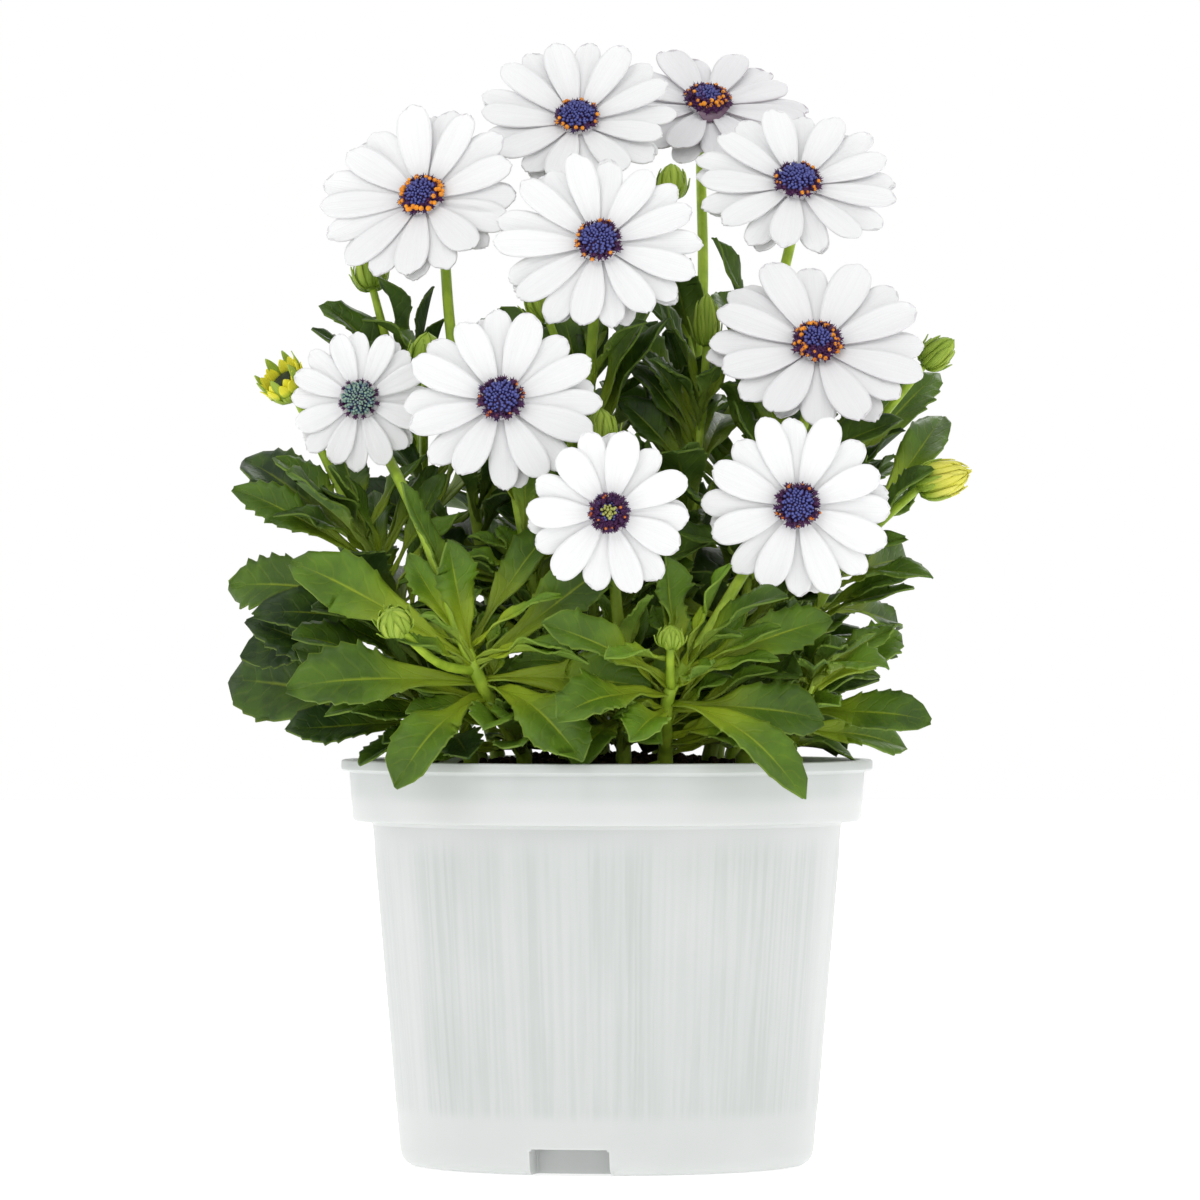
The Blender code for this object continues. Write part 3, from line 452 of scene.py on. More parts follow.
# How far from a bloom's middle its petals are rooted, and how high they are there
PETAL_ROOT_OUT, THIRD_ROOT_OUT = 1.8 * MM, 2 * MM
RAISED_ROOT, LOW_ROOT, THIRD_ROOT = 0.35 * MM, -0.5 * MM, -0.9 * MM
RAISED_BY = 3.5
# A ring of petals is as wide as this many more would be side by side, so that neighbours overlap
SPARE_PETALS = 4.5
PETAL_FOLD = 3


def petal_blade(bloom, turn, rise, root_out, root_height, reach, width, arch, twist):
    """A petal that leaves the middle of a bloom by an angle round its axis and rises by another."""
    frame = bloom_frame(bloom)
    spin = frame.to_3x3()
    out = Vector((math.cos(turn), math.sin(turn), 0))
    along = out * math.cos(rise) + Vector((0, 0, math.sin(rise)))
    up = Vector((0, 0, math.cos(rise))) - out * math.sin(rise)
    root = frame @ (out * root_out + Vector((0, 0, root_height)))
    wide = width * math.pi / (bloom.petals + SPARE_PETALS)
    return Blade(root, spin @ along, spin @ up, reach - root_out, wide, arch, twist, PETAL_FOLD)


def petal_blades(bloom):
    """The ring of petals: every second one stands a little above its neighbours."""
    draw = random.Random(int(bloom.name) * 7 + 3)
    blades = []
    for i in range(bloom.petals):
        raised = i % 2
        blades.append(petal_blade(
            bloom,
            turn=math.tau * (i + draw.uniform(-0.16, 0.16)) / bloom.petals,
            rise=math.radians(bloom.cone + draw.uniform(-1, 1) + RAISED_BY * raised),
            root_out=PETAL_ROOT_OUT,
            root_height=RAISED_ROOT if raised else LOW_ROOT,
            reach=bloom.reach * MM * draw.uniform(0.93, 1.03),
            width=bloom.reach * MM * 2.15 * draw.uniform(0.92, 1.06),
            arch=draw.uniform(3, 7) if raised else draw.uniform(8, 13),
            twist=draw.uniform(-4, 4),
        ))
    return blades


# A bud's outline: share of its length and of its radius, with its widest ring at the top of its cup
BUD_OUTLINE = ((-0.08, 0), (0.04, 0.62), (0.38, 0.96), (0.74, 0.74), (1, 0))
BUD_RIB = 0.11
WIDEST = 2


def bud_rings(bud, part="whole"):
    """The ribbed rings of a closed bud, of its cup or of its tip."""
    rings = [
        (share_out * bud.radius * MM, share * bud.length * MM, BUD_RIB * bud.radius * MM)
        for share, share_out in BUD_OUTLINE
    ]
    radius, height, rib = rings[WIDEST]
    if part == "cup":
        return [*rings[: WIDEST + 1], (0, height, 0)]
    if part == "tip":
        base = height + CLEARANCE
        return [(0, base, 0), (radius, base, rib), *rings[WIDEST + 1 :]]
    return rings


def tip_radius(shoot):
    """How thick a shoot's stem is at its end: a bloom's stalk is thicker than a leafy tip."""
    return STALK_RADIUS if shoot.bloom else TWIG_RADIUS * 1.2


def stem_radii(line, shoot):
    """The solid's stem radius at each point: full at the foot, thin under a bloom."""
    change = tip_radius(shoot) - STEM_RADIUS
    foot, top = line[1].z, line[-1].z
    return [STEM_RADIUS if p.z <= foot else STEM_RADIUS + change * (p.z - foot) / (top - foot) for p in line]


def ruled_leaves(shoot):
    """Leaf wishes by the golden angle up the stem, smaller and more upright towards its tip."""
    draw = random.Random(int(shoot.name) * 13 + 5)
    low, high = shoot.zone
    wishes = []
    for i in range(shoot.count):
        share = i / max(shoot.count - 1, 1)
        wishes.append(Leaf(
            height=low + (high - low) * share,
            bearing=shoot.turn + GOLDEN_ANGLE * i + draw.uniform(-14, 14),
            lift=shoot.lift * (0.35 + 0.75 * share) + draw.uniform(-8, 8),
            length=shoot.length * (1.1 - 0.25 * share) * draw.uniform(0.9, 1.08),
            width=shoot.length * 0.42 * (1.05 - 0.25 * share) * draw.uniform(0.9, 1.1),
            arch=draw.uniform(16, 40),
            twist=draw.uniform(-12, 12),
            roll=draw.uniform(-22, 22),
        ))
    return wishes


# Leaf tips stay between these, left to right and to the back
ROOM_LEFT = -95 * MM
ROOM_RIGHT = 86 * MM
ROOM_BACK = 88 * MM
STEEPEST_LEAF = 84
LEAF_FOLD = 14
# Leaves at least this long (millimetres) have the large outline
LARGE_FROM = 45
# What is tried in turn for a leaf that touches something: degrees round and up, and a share of its size
BENDS = [
    (turn, lift, size)
    for size in (1.0, 0.84, 0.7)
    for lift in (0, 12, -12, 24)
    for turn in (0, 14, -14, 28, -28, 46, -46)
]


def leaf_up(root, along, roll):
    """Where a leaf's face points: up and to the light, less so at the back of the plant."""
    light = Vector(LIGHT) + Vector((0, max(root.y, 0) / (70 * MM), 0)) + upright(along) * 0.6
    up = (light - along * light.dot(along)).normalized()
    side = up.cross(along)
    return up * math.cos(math.radians(roll)) + side * math.sin(math.radians(roll))


def leaf_blade(leaf, stem, bend=(0, 0, 1.0)):
    """The blade of a leaf that grows from a stem, turned and shrunk by bend."""
    turn, lift, size = bend
    along = heading(leaf.bearing + turn, min(leaf.lift + lift, STEEPEST_LEAF))
    root = point_at_height(stem, leaf.height * MM)
    up = leaf_up(root, along, leaf.roll)
    length, width = leaf.length * size * MM, leaf.width * size * MM
    return Blade(root, along, up, length, width, leaf.arch, leaf.twist, LEAF_FOLD)


def in_room(blade):
    """Whether a leaf ends inside the plant's spread."""
    tip = blade_point(blade, 1, 0)
    return ROOM_LEFT <= tip.x <= ROOM_RIGHT and tip.y <= ROOM_BACK


def outline_of(leaf):
    """The outline that a leaf of this size has."""
    return LARGE_LEAF if leaf.length >= LARGE_FROM else SMALL_LEAF


def freed_tree(bm):
    """A search tree over a bmesh, which is then freed."""
    tree = BVHTree.FromBMesh(bm, epsilon=0.0)
    bm.free()
    return tree


def stem_tree(line, radii):
    """A search tree over a six-sided stem, a little fatter than it is."""
    sides = 6
    bm = bmesh.new()
    rings = []
    for i, (place, radius) in enumerate(zip(line, radii)):
        along = (line[min(i + 1, len(line) - 1)] - line[max(i - 1, 0)]).normalized()
        side = along.orthogonal().normalized()
        other = along.cross(side)
        rings.append([
            bm.verts.new(place + (side * math.cos(a) + other * math.sin(a)) * (radius + STEM_GAP))
            for a in (math.tau * k / sides for k in range(sides))
        ])
    for low, high in zip(rings, rings[1:]):
        for k in range(sides):
            j = (k + 1) % sides
            bm.faces.new((low[k], low[j], high[j], high[k]))
    return freed_tree(bm)


def turned_tree(points, steps, frame):
    """A search tree over a shape turned from (radius, height) points, from its foot to its top."""
    return freed_tree(turned([(radius, height, 0) for radius, height in points], steps, frame))


# The room kept free round stems, petals, the pot's wall, its top and the soil
STEM_GAP, PETAL_GAP, WALL_GAP, LIP_GAP, SOIL_GAP = 0.4 * MM, 0.8 * MM, 0.8 * MM, 0.9 * MM, 1.6 * MM
# How much fatter and longer (millimetres) a bud's room is than the bud
BUD_ROOM, BUD_ROOM_AHEAD = 1.2, 1.5
# Between the viewer and each bloom no leaf grows: from how far ahead of it to how far
SIGHT_NEAR, SIGHT_FAR = 8 * MM, 45 * MM


def fixed_obstacles():
    """What leaves keep clear of, as (owner, search tree): all other pieces and the view of each bloom."""
    found = []
    upright_frame = Matrix.Identity(4)
    above = POT_HEIGHT + LIP_GAP
    pot_room = [
        (BODY_RADIUS, 0), (BAND_RADIUS + WALL_GAP, POT_HEIGHT - 4 * MM),
        (LIP_RADIUS + WALL_GAP, POT_HEIGHT - 3 * MM), (LIP_RADIUS + WALL_GAP, above),
        (BAND_RADIUS - POT_WALL - 1 * MM, above),
    ]
    found.append(("pot", turned_tree(pot_room, POT_STEPS, upright_frame)))
    mound = SOIL_EDGE + SOIL_MOUND
    soil_room = [(64 * MM, SOIL_EDGE + SOIL_GAP), (30 * MM, mound), (0, mound + SOIL_GAP)]
    found.append(("soil", turned_tree(soil_room, 24, upright_frame)))
    for shoot in SHOOTS:
        line = stem_line(shoot)
        found.append((shoot.name, stem_tree(line, stem_radii(line, shoot))))
        for bud in shoot.buds:
            twig = twig_line(bud, line)
            found.append((shoot.name, stem_tree(twig, [TWIG_RADIUS] * len(twig))))
            fat = bud._replace(radius=bud.radius + BUD_ROOM, length=bud.length + BUD_ROOM_AHEAD)
            found.append(("bud", freed_tree(turned(bud_rings(fat), 8, bud_frame(bud)))))
    for bloom in BLOOMS:
        for blade in petal_blades(bloom):
            found.append(("petal", shell_tree(petal_rows(blade), PETAL_GAP)))
        cup = [(1.8 * MM, -11 * MM), (6 * MM, -1 * MM), (bloom.disc * MM, 5 * MM)]
        found.append(("cup", turned_tree(cup, 8, bloom_frame(bloom))))
        near, far = 0.62 * bloom.reach * MM, 0.55 * bloom.reach * MM
        sight = [(0, SIGHT_NEAR), (near, SIGHT_NEAR), (far, SIGHT_FAR), (0, SIGHT_FAR)]
        found.append(("sight", turned_tree(sight, 8, facing_matrix(mm(bloom.centre), Vector((0, -1, 0))))))
    return found


# Small leaves that fill each shoot between the ruled ones, and may nearly touch their neighbours:
# how many a shoot has and how high they go. The tall shoots in the middle are the densest.
FILLING_LEAVES = {
    "01": (30, 202), "02": (30, 206), "03": (24, 198), "04": (20, 192), "05": (26, 198), "12": (22, 198),
    "15": (28, 188), "16": (28, 184), "19": (28, 200),
}
FILLING_COUNT = 24
FILLING_MARGIN = 0.25 * MM
# Shoots whose leaves fan out to the viewer, and the heights of the young leaves in their middle
ROSETTES = {
    "07": (106, 128), "08": (112, 148), "09": (104, 122), "10": (104, 124), "11": (116, 150),
    "17": (103, 119), "18": (103, 116),
}
YOUNG_COUNT = 26
# Two larger leaves that stand before the stem of bloom 07
LARGE_YOUNG = {"07": [Leaf(123, -70, 64, 32, 13, 4, 0, 60), Leaf(127, -60, 68, 26, 10, 6, 0, 50)]}


def filling_leaves(shoot):
    """Wishes for small leaves all round a stem, shorter and more upright towards its tip."""
    draw = random.Random(int(shoot.name) * 23 + 9)
    low, high = shoot.zone
    count, top = FILLING_LEAVES.get(shoot.name, (FILLING_COUNT, max(high + 10, low + 16)))
    wishes = []
    for i in range(count):
        share = (i + 0.5) / count
        length = draw.uniform(27, 43) * (1.05 - 0.22 * share)
        wishes.append(Leaf(
            height=low - 4 + (top - low) * share,
            bearing=draw.uniform(0, 360),
            lift=8 + 54 * share + draw.uniform(-10, 14),
            length=length,
            width=length * draw.uniform(0.34, 0.44),
            arch=draw.uniform(10, 42),
            twist=draw.uniform(-14, 14),
            roll=draw.uniform(-25, 25),
        ))
    return wishes


def young_leaves(shoot):
    """Wishes for the small upright leaves in the middle of a rosette."""
    if shoot.name not in ROSETTES:
        return []
    draw = random.Random(int(shoot.name) * 31 + 2)
    ranges = (ROSETTES[shoot.name], (-120, 120), (15, 84), (13, 34), (5, 11), (-10, 40), (-15, 15), (-20, 20))
    young = [Leaf(*(draw.uniform(*between) for between in ranges)) for _ in range(YOUNG_COUNT)]
    return LARGE_YOUNG.get(shoot.name, []) + young


def grow_leaves():
    """The leaf blades of each shoot: each is bent, turned or shrunk until it is clear of all else."""
    found = fixed_obstacles()
    leaves = {shoot.name: [] for shoot in SHOOTS}
    wishes = [(shoot, leaf, LEAF_MARGIN) for shoot in SHOOTS for leaf in shoot.set_leaves]
    wishes += [(shoot, leaf, LEAF_MARGIN) for shoot in SHOOTS for leaf in ruled_leaves(shoot)]
    for more in (young_leaves, filling_leaves):
        wishes += [(shoot, leaf, FILLING_MARGIN) for shoot in SHOOTS for leaf in more(shoot)]
    lines = {shoot.name: stem_line(shoot) for shoot in SHOOTS}
    for shoot, leaf, margin in wishes:
        for bend in BENDS:
            blade = leaf_blade(leaf, lines[shoot.name], bend)
            if not in_room(blade):
                continue
            wider = blade._replace(length=blade.length + margin, width=blade.width + 2 * margin)
            tree = shell_tree(leaf_rows(wider, outline_of(leaf)), margin)
            if all(owner == shoot.name or not tree.overlap(other) for owner, other in found):
                leaves[shoot.name].append(blade)
                mesh = blade_mesh(leaf_rows(blade, outline_of(leaf)))
                found.append(("leaf of " + shoot.name, freed_tree(mesh)))
                break
    return leaves


# Fine meshes
LEAF_THICKNESS = 0.45 * MM
PETAL_THICKNESS = 0.35 * MM
STEM_SIDES = 12
FINE_STEP = 3.5 * MM
# Half widths of a leaf and a petal along their length, as shares of the widest
LEAF_EDGE = (
    (0, 0.17), (0.12, 0.16), (0.26, 0.26), (0.4, 0.52), (0.54, 0.84), (0.67, 1.0), (0.78, 0.98), (0.88, 0.79),
    (0.95, 0.52), (0.985, 0.3), (1, 0.1),
)
PETAL_EDGE = (
    (0, 0.08), (0.1, 0.28), (0.3, 0.64), (0.5, 0.9), (0.64, 1.0), (0.75, 1.0), (0.84, 0.93), (0.91, 0.82),
    (0.96, 0.66), (0.985, 0.5), (1, 0.3),
)
# Shares of a leaf's length at which its margin has a tooth, and how long a tooth is at its foot
TEETH = (0.47, 0.57, 0.67, 0.76, 0.84, 0.91)
TOOTH_FOOT = 0.05


def linked(name, data):
    """A new object of the scene with this data, at the origin."""
    obj = bpy.data.objects.new(name, data)
    bpy.context.scene.collection.objects.link(obj)
    return obj


def mesh_object(name, bm):
    """An object from a bmesh, which is then freed."""
    mesh = bpy.data.meshes.new(name)
    bm.to_mesh(mesh)
    bm.free()
    return linked(name, mesh)


def evaluated_mesh(obj):
    """A plain mesh of an object with its modifiers done."""
    bpy.context.view_layer.update()
    return bpy.data.meshes.new_from_object(obj.evaluated_get(bpy.context.evaluated_depsgraph_get()))


def smooth_shaded(mesh):
    """Shades every face of a mesh smooth."""
    mesh.polygons.foreach_set("use_smooth", [True] * len(mesh.polygons))


class Piece:
    """A mesh in the making: points, faces, and for each point its tone and its place on the blade."""

    def __init__(self, name):
        self.name = name
        self.points, self.faces, self.spots, self.tones = [], [], [], []
        self.finishes, self.smooth = [], []
        self.count = 0

    def add(self, points, faces, spots, tone, finish, smooth=True):
        """faces index these points alone; spots are their (across, along) shares."""
        points = np.asarray(points, float).reshape(-1, 3)
        self.points.append(points)
        self.faces += [tuple(int(i) + self.count for i in face) for face in faces]
        self.spots.append(np.asarray(spots, float).reshape(-1, 2))
        self.tones.append(np.broadcast_to(np.asarray(tone, float), len(points)))
        self.finishes += [finish] * len(faces)
        self.smooth += [smooth] * len(faces)
        self.count += len(points)

    def made(self, materials):
        """The object, with a UV map of the spots and a point attribute called tone."""
        mesh = bpy.data.meshes.new(self.name)
        mesh.from_pydata(np.concatenate(self.points).tolist(), [], self.faces)
        for look in materials:
            mesh.materials.append(look)
        mesh.polygons.foreach_set("material_index", self.finishes)
        mesh.polygons.foreach_set("use_smooth", self.smooth)
        corners = np.empty(len(mesh.loops), np.int32)
        mesh.loops.foreach_get("vertex_index", corners)
        mesh.uv_layers.new(name="UVMap").uv.foreach_set("vector", np.concatenate(self.spots)[corners].ravel())
        tone = mesh.attributes.new("tone", "FLOAT", "POINT")
        tone.data.foreach_set("value", np.concatenate(self.tones))
        return linked(self.name, mesh)


def add_sheet(piece, grid, thickness, tone, upper, under):
    """A thin closed blade over a grid of points: rows run along it and columns across it."""
    grid = np.asarray(grid, float)
    rows, columns = grid.shape[:2]
    normal = np.cross(np.gradient(grid, axis=1), np.gradient(grid, axis=0))
    normal /= np.maximum(np.linalg.norm(normal, axis=2, keepdims=True), 1e-12)
    points = np.concatenate([grid + normal * thickness / 2, grid - normal * thickness / 2]).reshape(-1, 3)
    across, along = np.meshgrid(np.linspace(0, 1, columns), np.linspace(0, 1, rows))
    spots = np.tile(np.stack([across, along], axis=2).reshape(-1, 2), (2, 1))
    index = np.arange(rows * columns).reshape(rows, columns)
    a, b, c, d = (k.ravel() for k in (index[:-1, :-1], index[:-1, 1:], index[1:, 1:], index[1:, :-1]))
    size = rows * columns
    top = np.stack([a, b, c, d], axis=1)
    bottom = np.stack([a, d, c, b], axis=1) + size
    loop = np.concatenate([index[0, :-1], index[:-1, -1], index[-1, :0:-1], index[:0:-1, 0]])
    ahead = np.roll(loop, -1)
    rim = np.stack([ahead, loop, loop + size, ahead + size], axis=1)
    start = piece.count
    piece.add(points, top, spots, tone, upper)
    for faces, finish, smooth in ((bottom, under, True), (rim, under, False)):
        piece.faces += [tuple(int(i) + start for i in face) for face in faces]
        piece.finishes += [finish] * len(faces)
        piece.smooth += [smooth] * len(faces)


def edge_at(edge, share):
    """The half width of an outline at a share of its length."""
    return float(np.interp(share, *zip(*edge)))


def toothed(share, teeth, depth):
    """The half width of a leaf with sharp teeth that point forward; teeth are (share, size) pairs."""
    spike = 0
    for tip, size in teeth:
        if tip - TOOTH_FOOT < share <= tip + 1e-6:
            spike = size * (share - tip + TOOTH_FOOT) / TOOTH_FOOT
    return edge_at(LEAF_EDGE, share) * (1 - depth * (1 - spike))


def leaf_grid(blade, draw):
    """The points of a toothed leaf. No two are alike: each has its own width, ripple, sway and curl."""
    shift = draw.uniform(-0.04, 0.04)
    sides = [[(tip + shift, draw.choice((0, 0.5, 0.8, 1, 1.2))) for tip in TEETH] for _ in range(2)]
    shares = {float(share) for share in np.linspace(0, 1, 15).round(4)}
    for tip in TEETH:
        shares |= {tip + shift - TOOTH_FOOT, tip + shift, tip + shift + 0.01}
    depth, narrow = draw.uniform(0.07, 0.2), draw.uniform(0.76, 0.97)
    ripple, phase = draw.uniform(0.4, 1.3) * MM, draw.uniform(0, math.tau)
    bulge, crease = draw.uniform(0.3, 0.9) * MM, draw.uniform(0, 2) * MM
    sway, curl, wave = draw.uniform(-0.25, 0.25), draw.uniform(-0.5, 3) * MM, draw.uniform(0, 0.7) * MM
    grid = []
    for share in sorted(shares):
        row = []
        left, right = (toothed(share, teeth, depth) for teeth in sides)
        for t in np.linspace(-1, 1, 9):
            half = (left if t < 0 else right) * narrow
            lean = 0.05 * abs(t) * math.sin(math.pi * min(share * 1.1, 1))
            point = blade_point(blade, share + lean * (1 - share), t * half + sway * share * (share - 0.35))
            lift = ripple * math.sin(phase + 15 * share + 2 * (t > 0)) * t * t
            lift += (bulge * math.sin(math.pi * abs(t)) + crease * abs(t)) * half
            lift += wave * math.sin(phase + 8 * share) * share - curl * share**4
            row.append(point + blade.up * lift)
        grid.append(row)
    return grid


def petal_grid(blade, draw):
    """The points of a petal: two shallow grooves run along it and its round tip is a little notched."""
    notch, skew = draw.uniform(0, 0.028), draw.uniform(-0.02, 0.02)
    groove, cup = draw.uniform(0.1, 0.2) * MM, draw.uniform(-0.3, 0.7) * MM
    sway = draw.uniform(-0.12, 0.12)
    grid = []
    for share in (*np.linspace(0.05, 0.8, 12), 0.85, 0.895, 0.93, 0.96, 0.982, 1):
        row = []
        half = edge_at(PETAL_EDGE, share)
        for t in np.linspace(-1, 1, 11):
            tip = 0.036 * t * t + notch * math.exp(-((t / 0.22) ** 2)) + skew * t
            point = blade_point(blade, share - tip * share**5, t * half + sway * share * share)
            grooves = math.exp(-(((abs(t) - 0.36) / 0.12) ** 2)) * math.sin(math.pi * min(share, 0.96))
            row.append(point + blade.up * (cup * t * t * share - groove * grooves))
        grid.append(row)
    return grid


def add_tube(piece, line, radii, tone, finish, ridges=0.04):
    """A round stem along a line, with fine ridges, closed at both ends."""
    rings, spots = [], []
    side = (line[1] - line[0]).orthogonal().normalized()
    length = 0.0
    for i, (place, radius) in enumerate(zip(line, radii)):
        along = (line[min(i + 1, len(line) - 1)] - line[max(i - 1, 0)]).normalized()
        side = (side - along * side.dot(along)).normalized()
        other = along.cross(side)
        length += (place - line[max(i - 1, 0)]).length
        for k in range(STEM_SIDES):
            angle = math.tau * k / STEM_SIDES
            reach = radius * (1 + ridges * (k % 2))
            rings.append(place + (side * math.cos(angle) + other * math.sin(angle)) * reach)
            spots.append((k / STEM_SIDES, length / (20 * MM)))
    count = len(line)
    faces = []
    for i in range(count - 1):
        for k in range(STEM_SIDES):
            j = (k + 1) % STEM_SIDES
            low, high = i * STEM_SIDES, (i + 1) * STEM_SIDES
            faces.append((low + k, low + j, high + j, high + k))
    faces.append(tuple(range(STEM_SIDES - 1, -1, -1)))
    faces.append(tuple((count - 1) * STEM_SIDES + k for k in range(STEM_SIDES)))
    piece.add(rings, faces, spots, tone, finish)


def add_turned(piece, outline, sides, frame, tone, finish, rib=0.0):
    """A closed shape turned about a frame's Z axis, from (radius, height) points, ribbed if asked."""
    bm = turned([(r, z, rib if r else 0) for r, z in outline], sides, frame)
    bm.verts.index_update()
    span = max(z for _, z in outline) - outline[0][1]
    inverse = frame.inverted()
    spots = [(0.5, ((inverse @ v.co).z - outline[0][1]) / max(span, 1e-9)) for v in bm.verts]
    piece.add([v.co for v in bm.verts], [[v.index for v in f.verts] for f in bm.faces], spots, tone, finish)
    bm.free()


def fine_line(points):
    """A smooth line with points close enough for the fine meshes."""
    return smooth_line(points, FINE_STEP)


def feed(tree, socket, value):
    """Links a node's output to an input, or else sets the input's own value."""
    if isinstance(value, bpy.types.NodeSocket):
        tree.links.new(value, socket)
    else:
        socket.default_value = value


def sums(tree):
    """A function that adds one Math node and returns its result."""
    def work(operation, *values):
        node = tree.nodes.new("ShaderNodeMath")
        node.operation = operation
        for socket, value in zip(node.inputs, values):
            feed(tree, socket, value)
        return node.outputs[0]
    return work


# Geometry node trees, for what repeats
def node_maker(tree):
    """A function that adds a node to tree and feeds the given values to its inputs by name."""
    def add(kind, settings=None, **values):
        node = tree.nodes.new(kind)
        for key, value in (settings or {}).items():
            setattr(node, key, value)
        for name, value in values.items():
            feed(tree, next(s for s in node.inputs if s.name == name.replace("_", " ") and s.enabled), value)
        return node
    return add


def new_tree(name, inputs, output):
    """An empty tree with named inputs, the functions that add its nodes and sums, and its input node."""
    tree = bpy.data.node_groups.new(name, "GeometryNodeTree")
    for label, kind, value in inputs:
        socket = tree.interface.new_socket(name=label, in_out="INPUT", socket_type=kind)
        if value is not None:
            socket.default_value = value
    tree.interface.new_socket(name=output, in_out="OUTPUT", socket_type="NodeSocketGeometry")
    return tree, node_maker(tree), sums(tree), tree.nodes.new("NodeGroupInput")


def strewn(tree, add, given, points, rotation, scale):
    """Ends a tree: its piece on every point, as real mesh in its finish."""
    piece = add("GeometryNodeObjectInfo", Object=given.outputs["Piece"])
    placed = add(
        "GeometryNodeInstanceOnPoints",
        Points=points, Instance=piece.outputs["Geometry"], Rotation=rotation, Scale=scale,
    )
    real = add("GeometryNodeRealizeInstances", Geometry=placed.outputs[0])
    done = add("GeometryNodeSetMaterial", Geometry=real.outputs[0], Material=given.outputs["Finish"])
    tree.links.new(done.outputs[0], tree.nodes.new("NodeGroupOutput").inputs[0])
    return tree


def tree_on_points():
    """Sets a small piece on every point: it stands along the point's facing at the point's size."""
    tree, add, work, given = new_tree("pieces on points", (
        ("Points", "NodeSocketGeometry", None), ("Piece", "NodeSocketObject", None),
        ("Finish", "NodeSocketMaterial", None), ("Size spread", "NodeSocketFloat", 0.1),
        ("Seed", "NodeSocketInt", 0),
    ), "Pieces")
    facing = add("GeometryNodeInputNamedAttribute", {"data_type": "FLOAT_VECTOR"}, Name="facing")
    size = add("GeometryNodeInputNamedAttribute", {"data_type": "FLOAT"}, Name="size")
    stand = add("FunctionNodeAlignRotationToVector", {"axis": "Z"}, Vector=facing.outputs[0])
    seed, spread_of = given.outputs["Seed"], given.outputs["Size spread"]
    turn = add("FunctionNodeRandomValue", {"data_type": "FLOAT"}, Min=0.0, Max=math.tau, Seed=seed)
    spin = add("ShaderNodeCombineXYZ", Z=turn.outputs["Value"])
    spun = add("FunctionNodeEulerToRotation", Euler=spin.outputs[0])
    local = {"rotation_space": "LOCAL"}
    aimed = add("FunctionNodeRotateRotation", local, Rotation=stand.outputs[0], Rotate_By=spun.outputs[0])
    low, high = work("SUBTRACT", 1, spread_of), work("ADD", 1, spread_of)
    spread = add("FunctionNodeRandomValue", {"data_type": "FLOAT"}, Min=low, Max=high, Seed=seed)
    scale = work("MULTIPLY", size.outputs[0], spread.outputs["Value"])
    return strewn(tree, add, given, given.outputs["Points"], aimed.outputs[0], scale)


def tree_over_faces():
    """Strews a small piece over a surface, turned and sized at random."""
    tree, add, _, given = new_tree("crumbs over faces", (
        ("Ground", "NodeSocketGeometry", None), ("Piece", "NodeSocketObject", None),
        ("Finish", "NodeSocketMaterial", None), ("Number per square metre", "NodeSocketFloat", 1e5),
        ("Smallest", "NodeSocketFloat", 0.5), ("Largest", "NodeSocketFloat", 1.5),
        ("Seed", "NodeSocketInt", 0),
    ), "Crumbs")
    spots = add(
        "GeometryNodeDistributePointsOnFaces", Mesh=given.outputs["Ground"],
        Density=given.outputs["Number per square metre"], Seed=given.outputs["Seed"],
    )
    turn = add("FunctionNodeRandomValue", {"data_type": "FLOAT_VECTOR"}, Seed=given.outputs["Seed"])
    turn.inputs["Max"].default_value = (math.tau, math.tau, math.tau)
    turned_by = add("FunctionNodeEulerToRotation", Euler=turn.outputs["Value"])
    size = add(
        "FunctionNodeRandomValue", {"data_type": "FLOAT"}, Min=given.outputs["Smallest"],
        Max=given.outputs["Largest"], Seed=given.outputs["Seed"],
    )
    size_out = next(s for s in size.outputs if s.enabled)
    return strewn(tree, add, given, spots.outputs["Points"], turned_by.outputs[0], size_out)


def grown(name, base, tree, values):
    """The plain mesh that a node tree makes from base, which is then removed."""
    modifier = base.modifiers.new("grow", "NODES")
    modifier.node_group = tree
    identifiers = {s.name: s.identifier for s in tree.interface.items_tree if s.in_out == "INPUT"}
    for label, value in values.items():
        modifier[identifiers[label]] = value
    base.update_tag()
    mesh = evaluated_mesh(base)
    bpy.data.objects.remove(base)
    mesh.name = name
    return linked(name, mesh)


def points_object(name, places, facings, sizes, tones):
    """Loose points that carry a facing, a size and a tone."""
    mesh = bpy.data.meshes.new(name)
    mesh.from_pydata([tuple(p) for p in places], [], [])
    for label, kind, key, values in (
        ("facing", "FLOAT_VECTOR", "vector", [c for f in facings for c in f]),
        ("size", "FLOAT", "value", sizes), ("tone", "FLOAT", "value", tones),
    ):
        mesh.attributes.new(label, kind, "POINT").data.foreach_set(key, values)
    return linked(name, mesh)


def small_piece(name, bm):
    """A pattern piece for the node trees, with its points' heights as a share called tip."""
    obj = mesh_object(name, bm)
    smooth_shaded(obj.data)
    heights = np.array([v.co.z for v in obj.data.vertices])
    tip = obj.data.attributes.new("tip", "FLOAT", "POINT")
    tip.data.foreach_set("value", (heights - heights.min()) / (heights.max() - heights.min()))
    obj.hide_render = True
    return obj


def one_object(name, objects):
    """Several objects joined as one mesh that keeps their materials and attributes."""
    first = objects[0]
    with bpy.context.temp_override(active_object=first, selected_editable_objects=objects):
        bpy.ops.object.join()
    first.name = first.data.name = name
    return first


# Shader groups
def new_group(name, inputs, outputs):
    """An empty shader group with number inputs and outputs, and its two end nodes."""
    tree = bpy.data.node_groups.new(name, "ShaderNodeTree")
    for label, value in inputs:
        socket = tree.interface.new_socket(name=label, in_out="INPUT", socket_type="NodeSocketFloat")
        socket.default_value = value
    for label in outputs:
        tree.interface.new_socket(name=label, in_out="OUTPUT", socket_type="NodeSocketFloat")
    return tree, tree.nodes.new("NodeGroupInput"), tree.nodes.new("NodeGroupOutput")


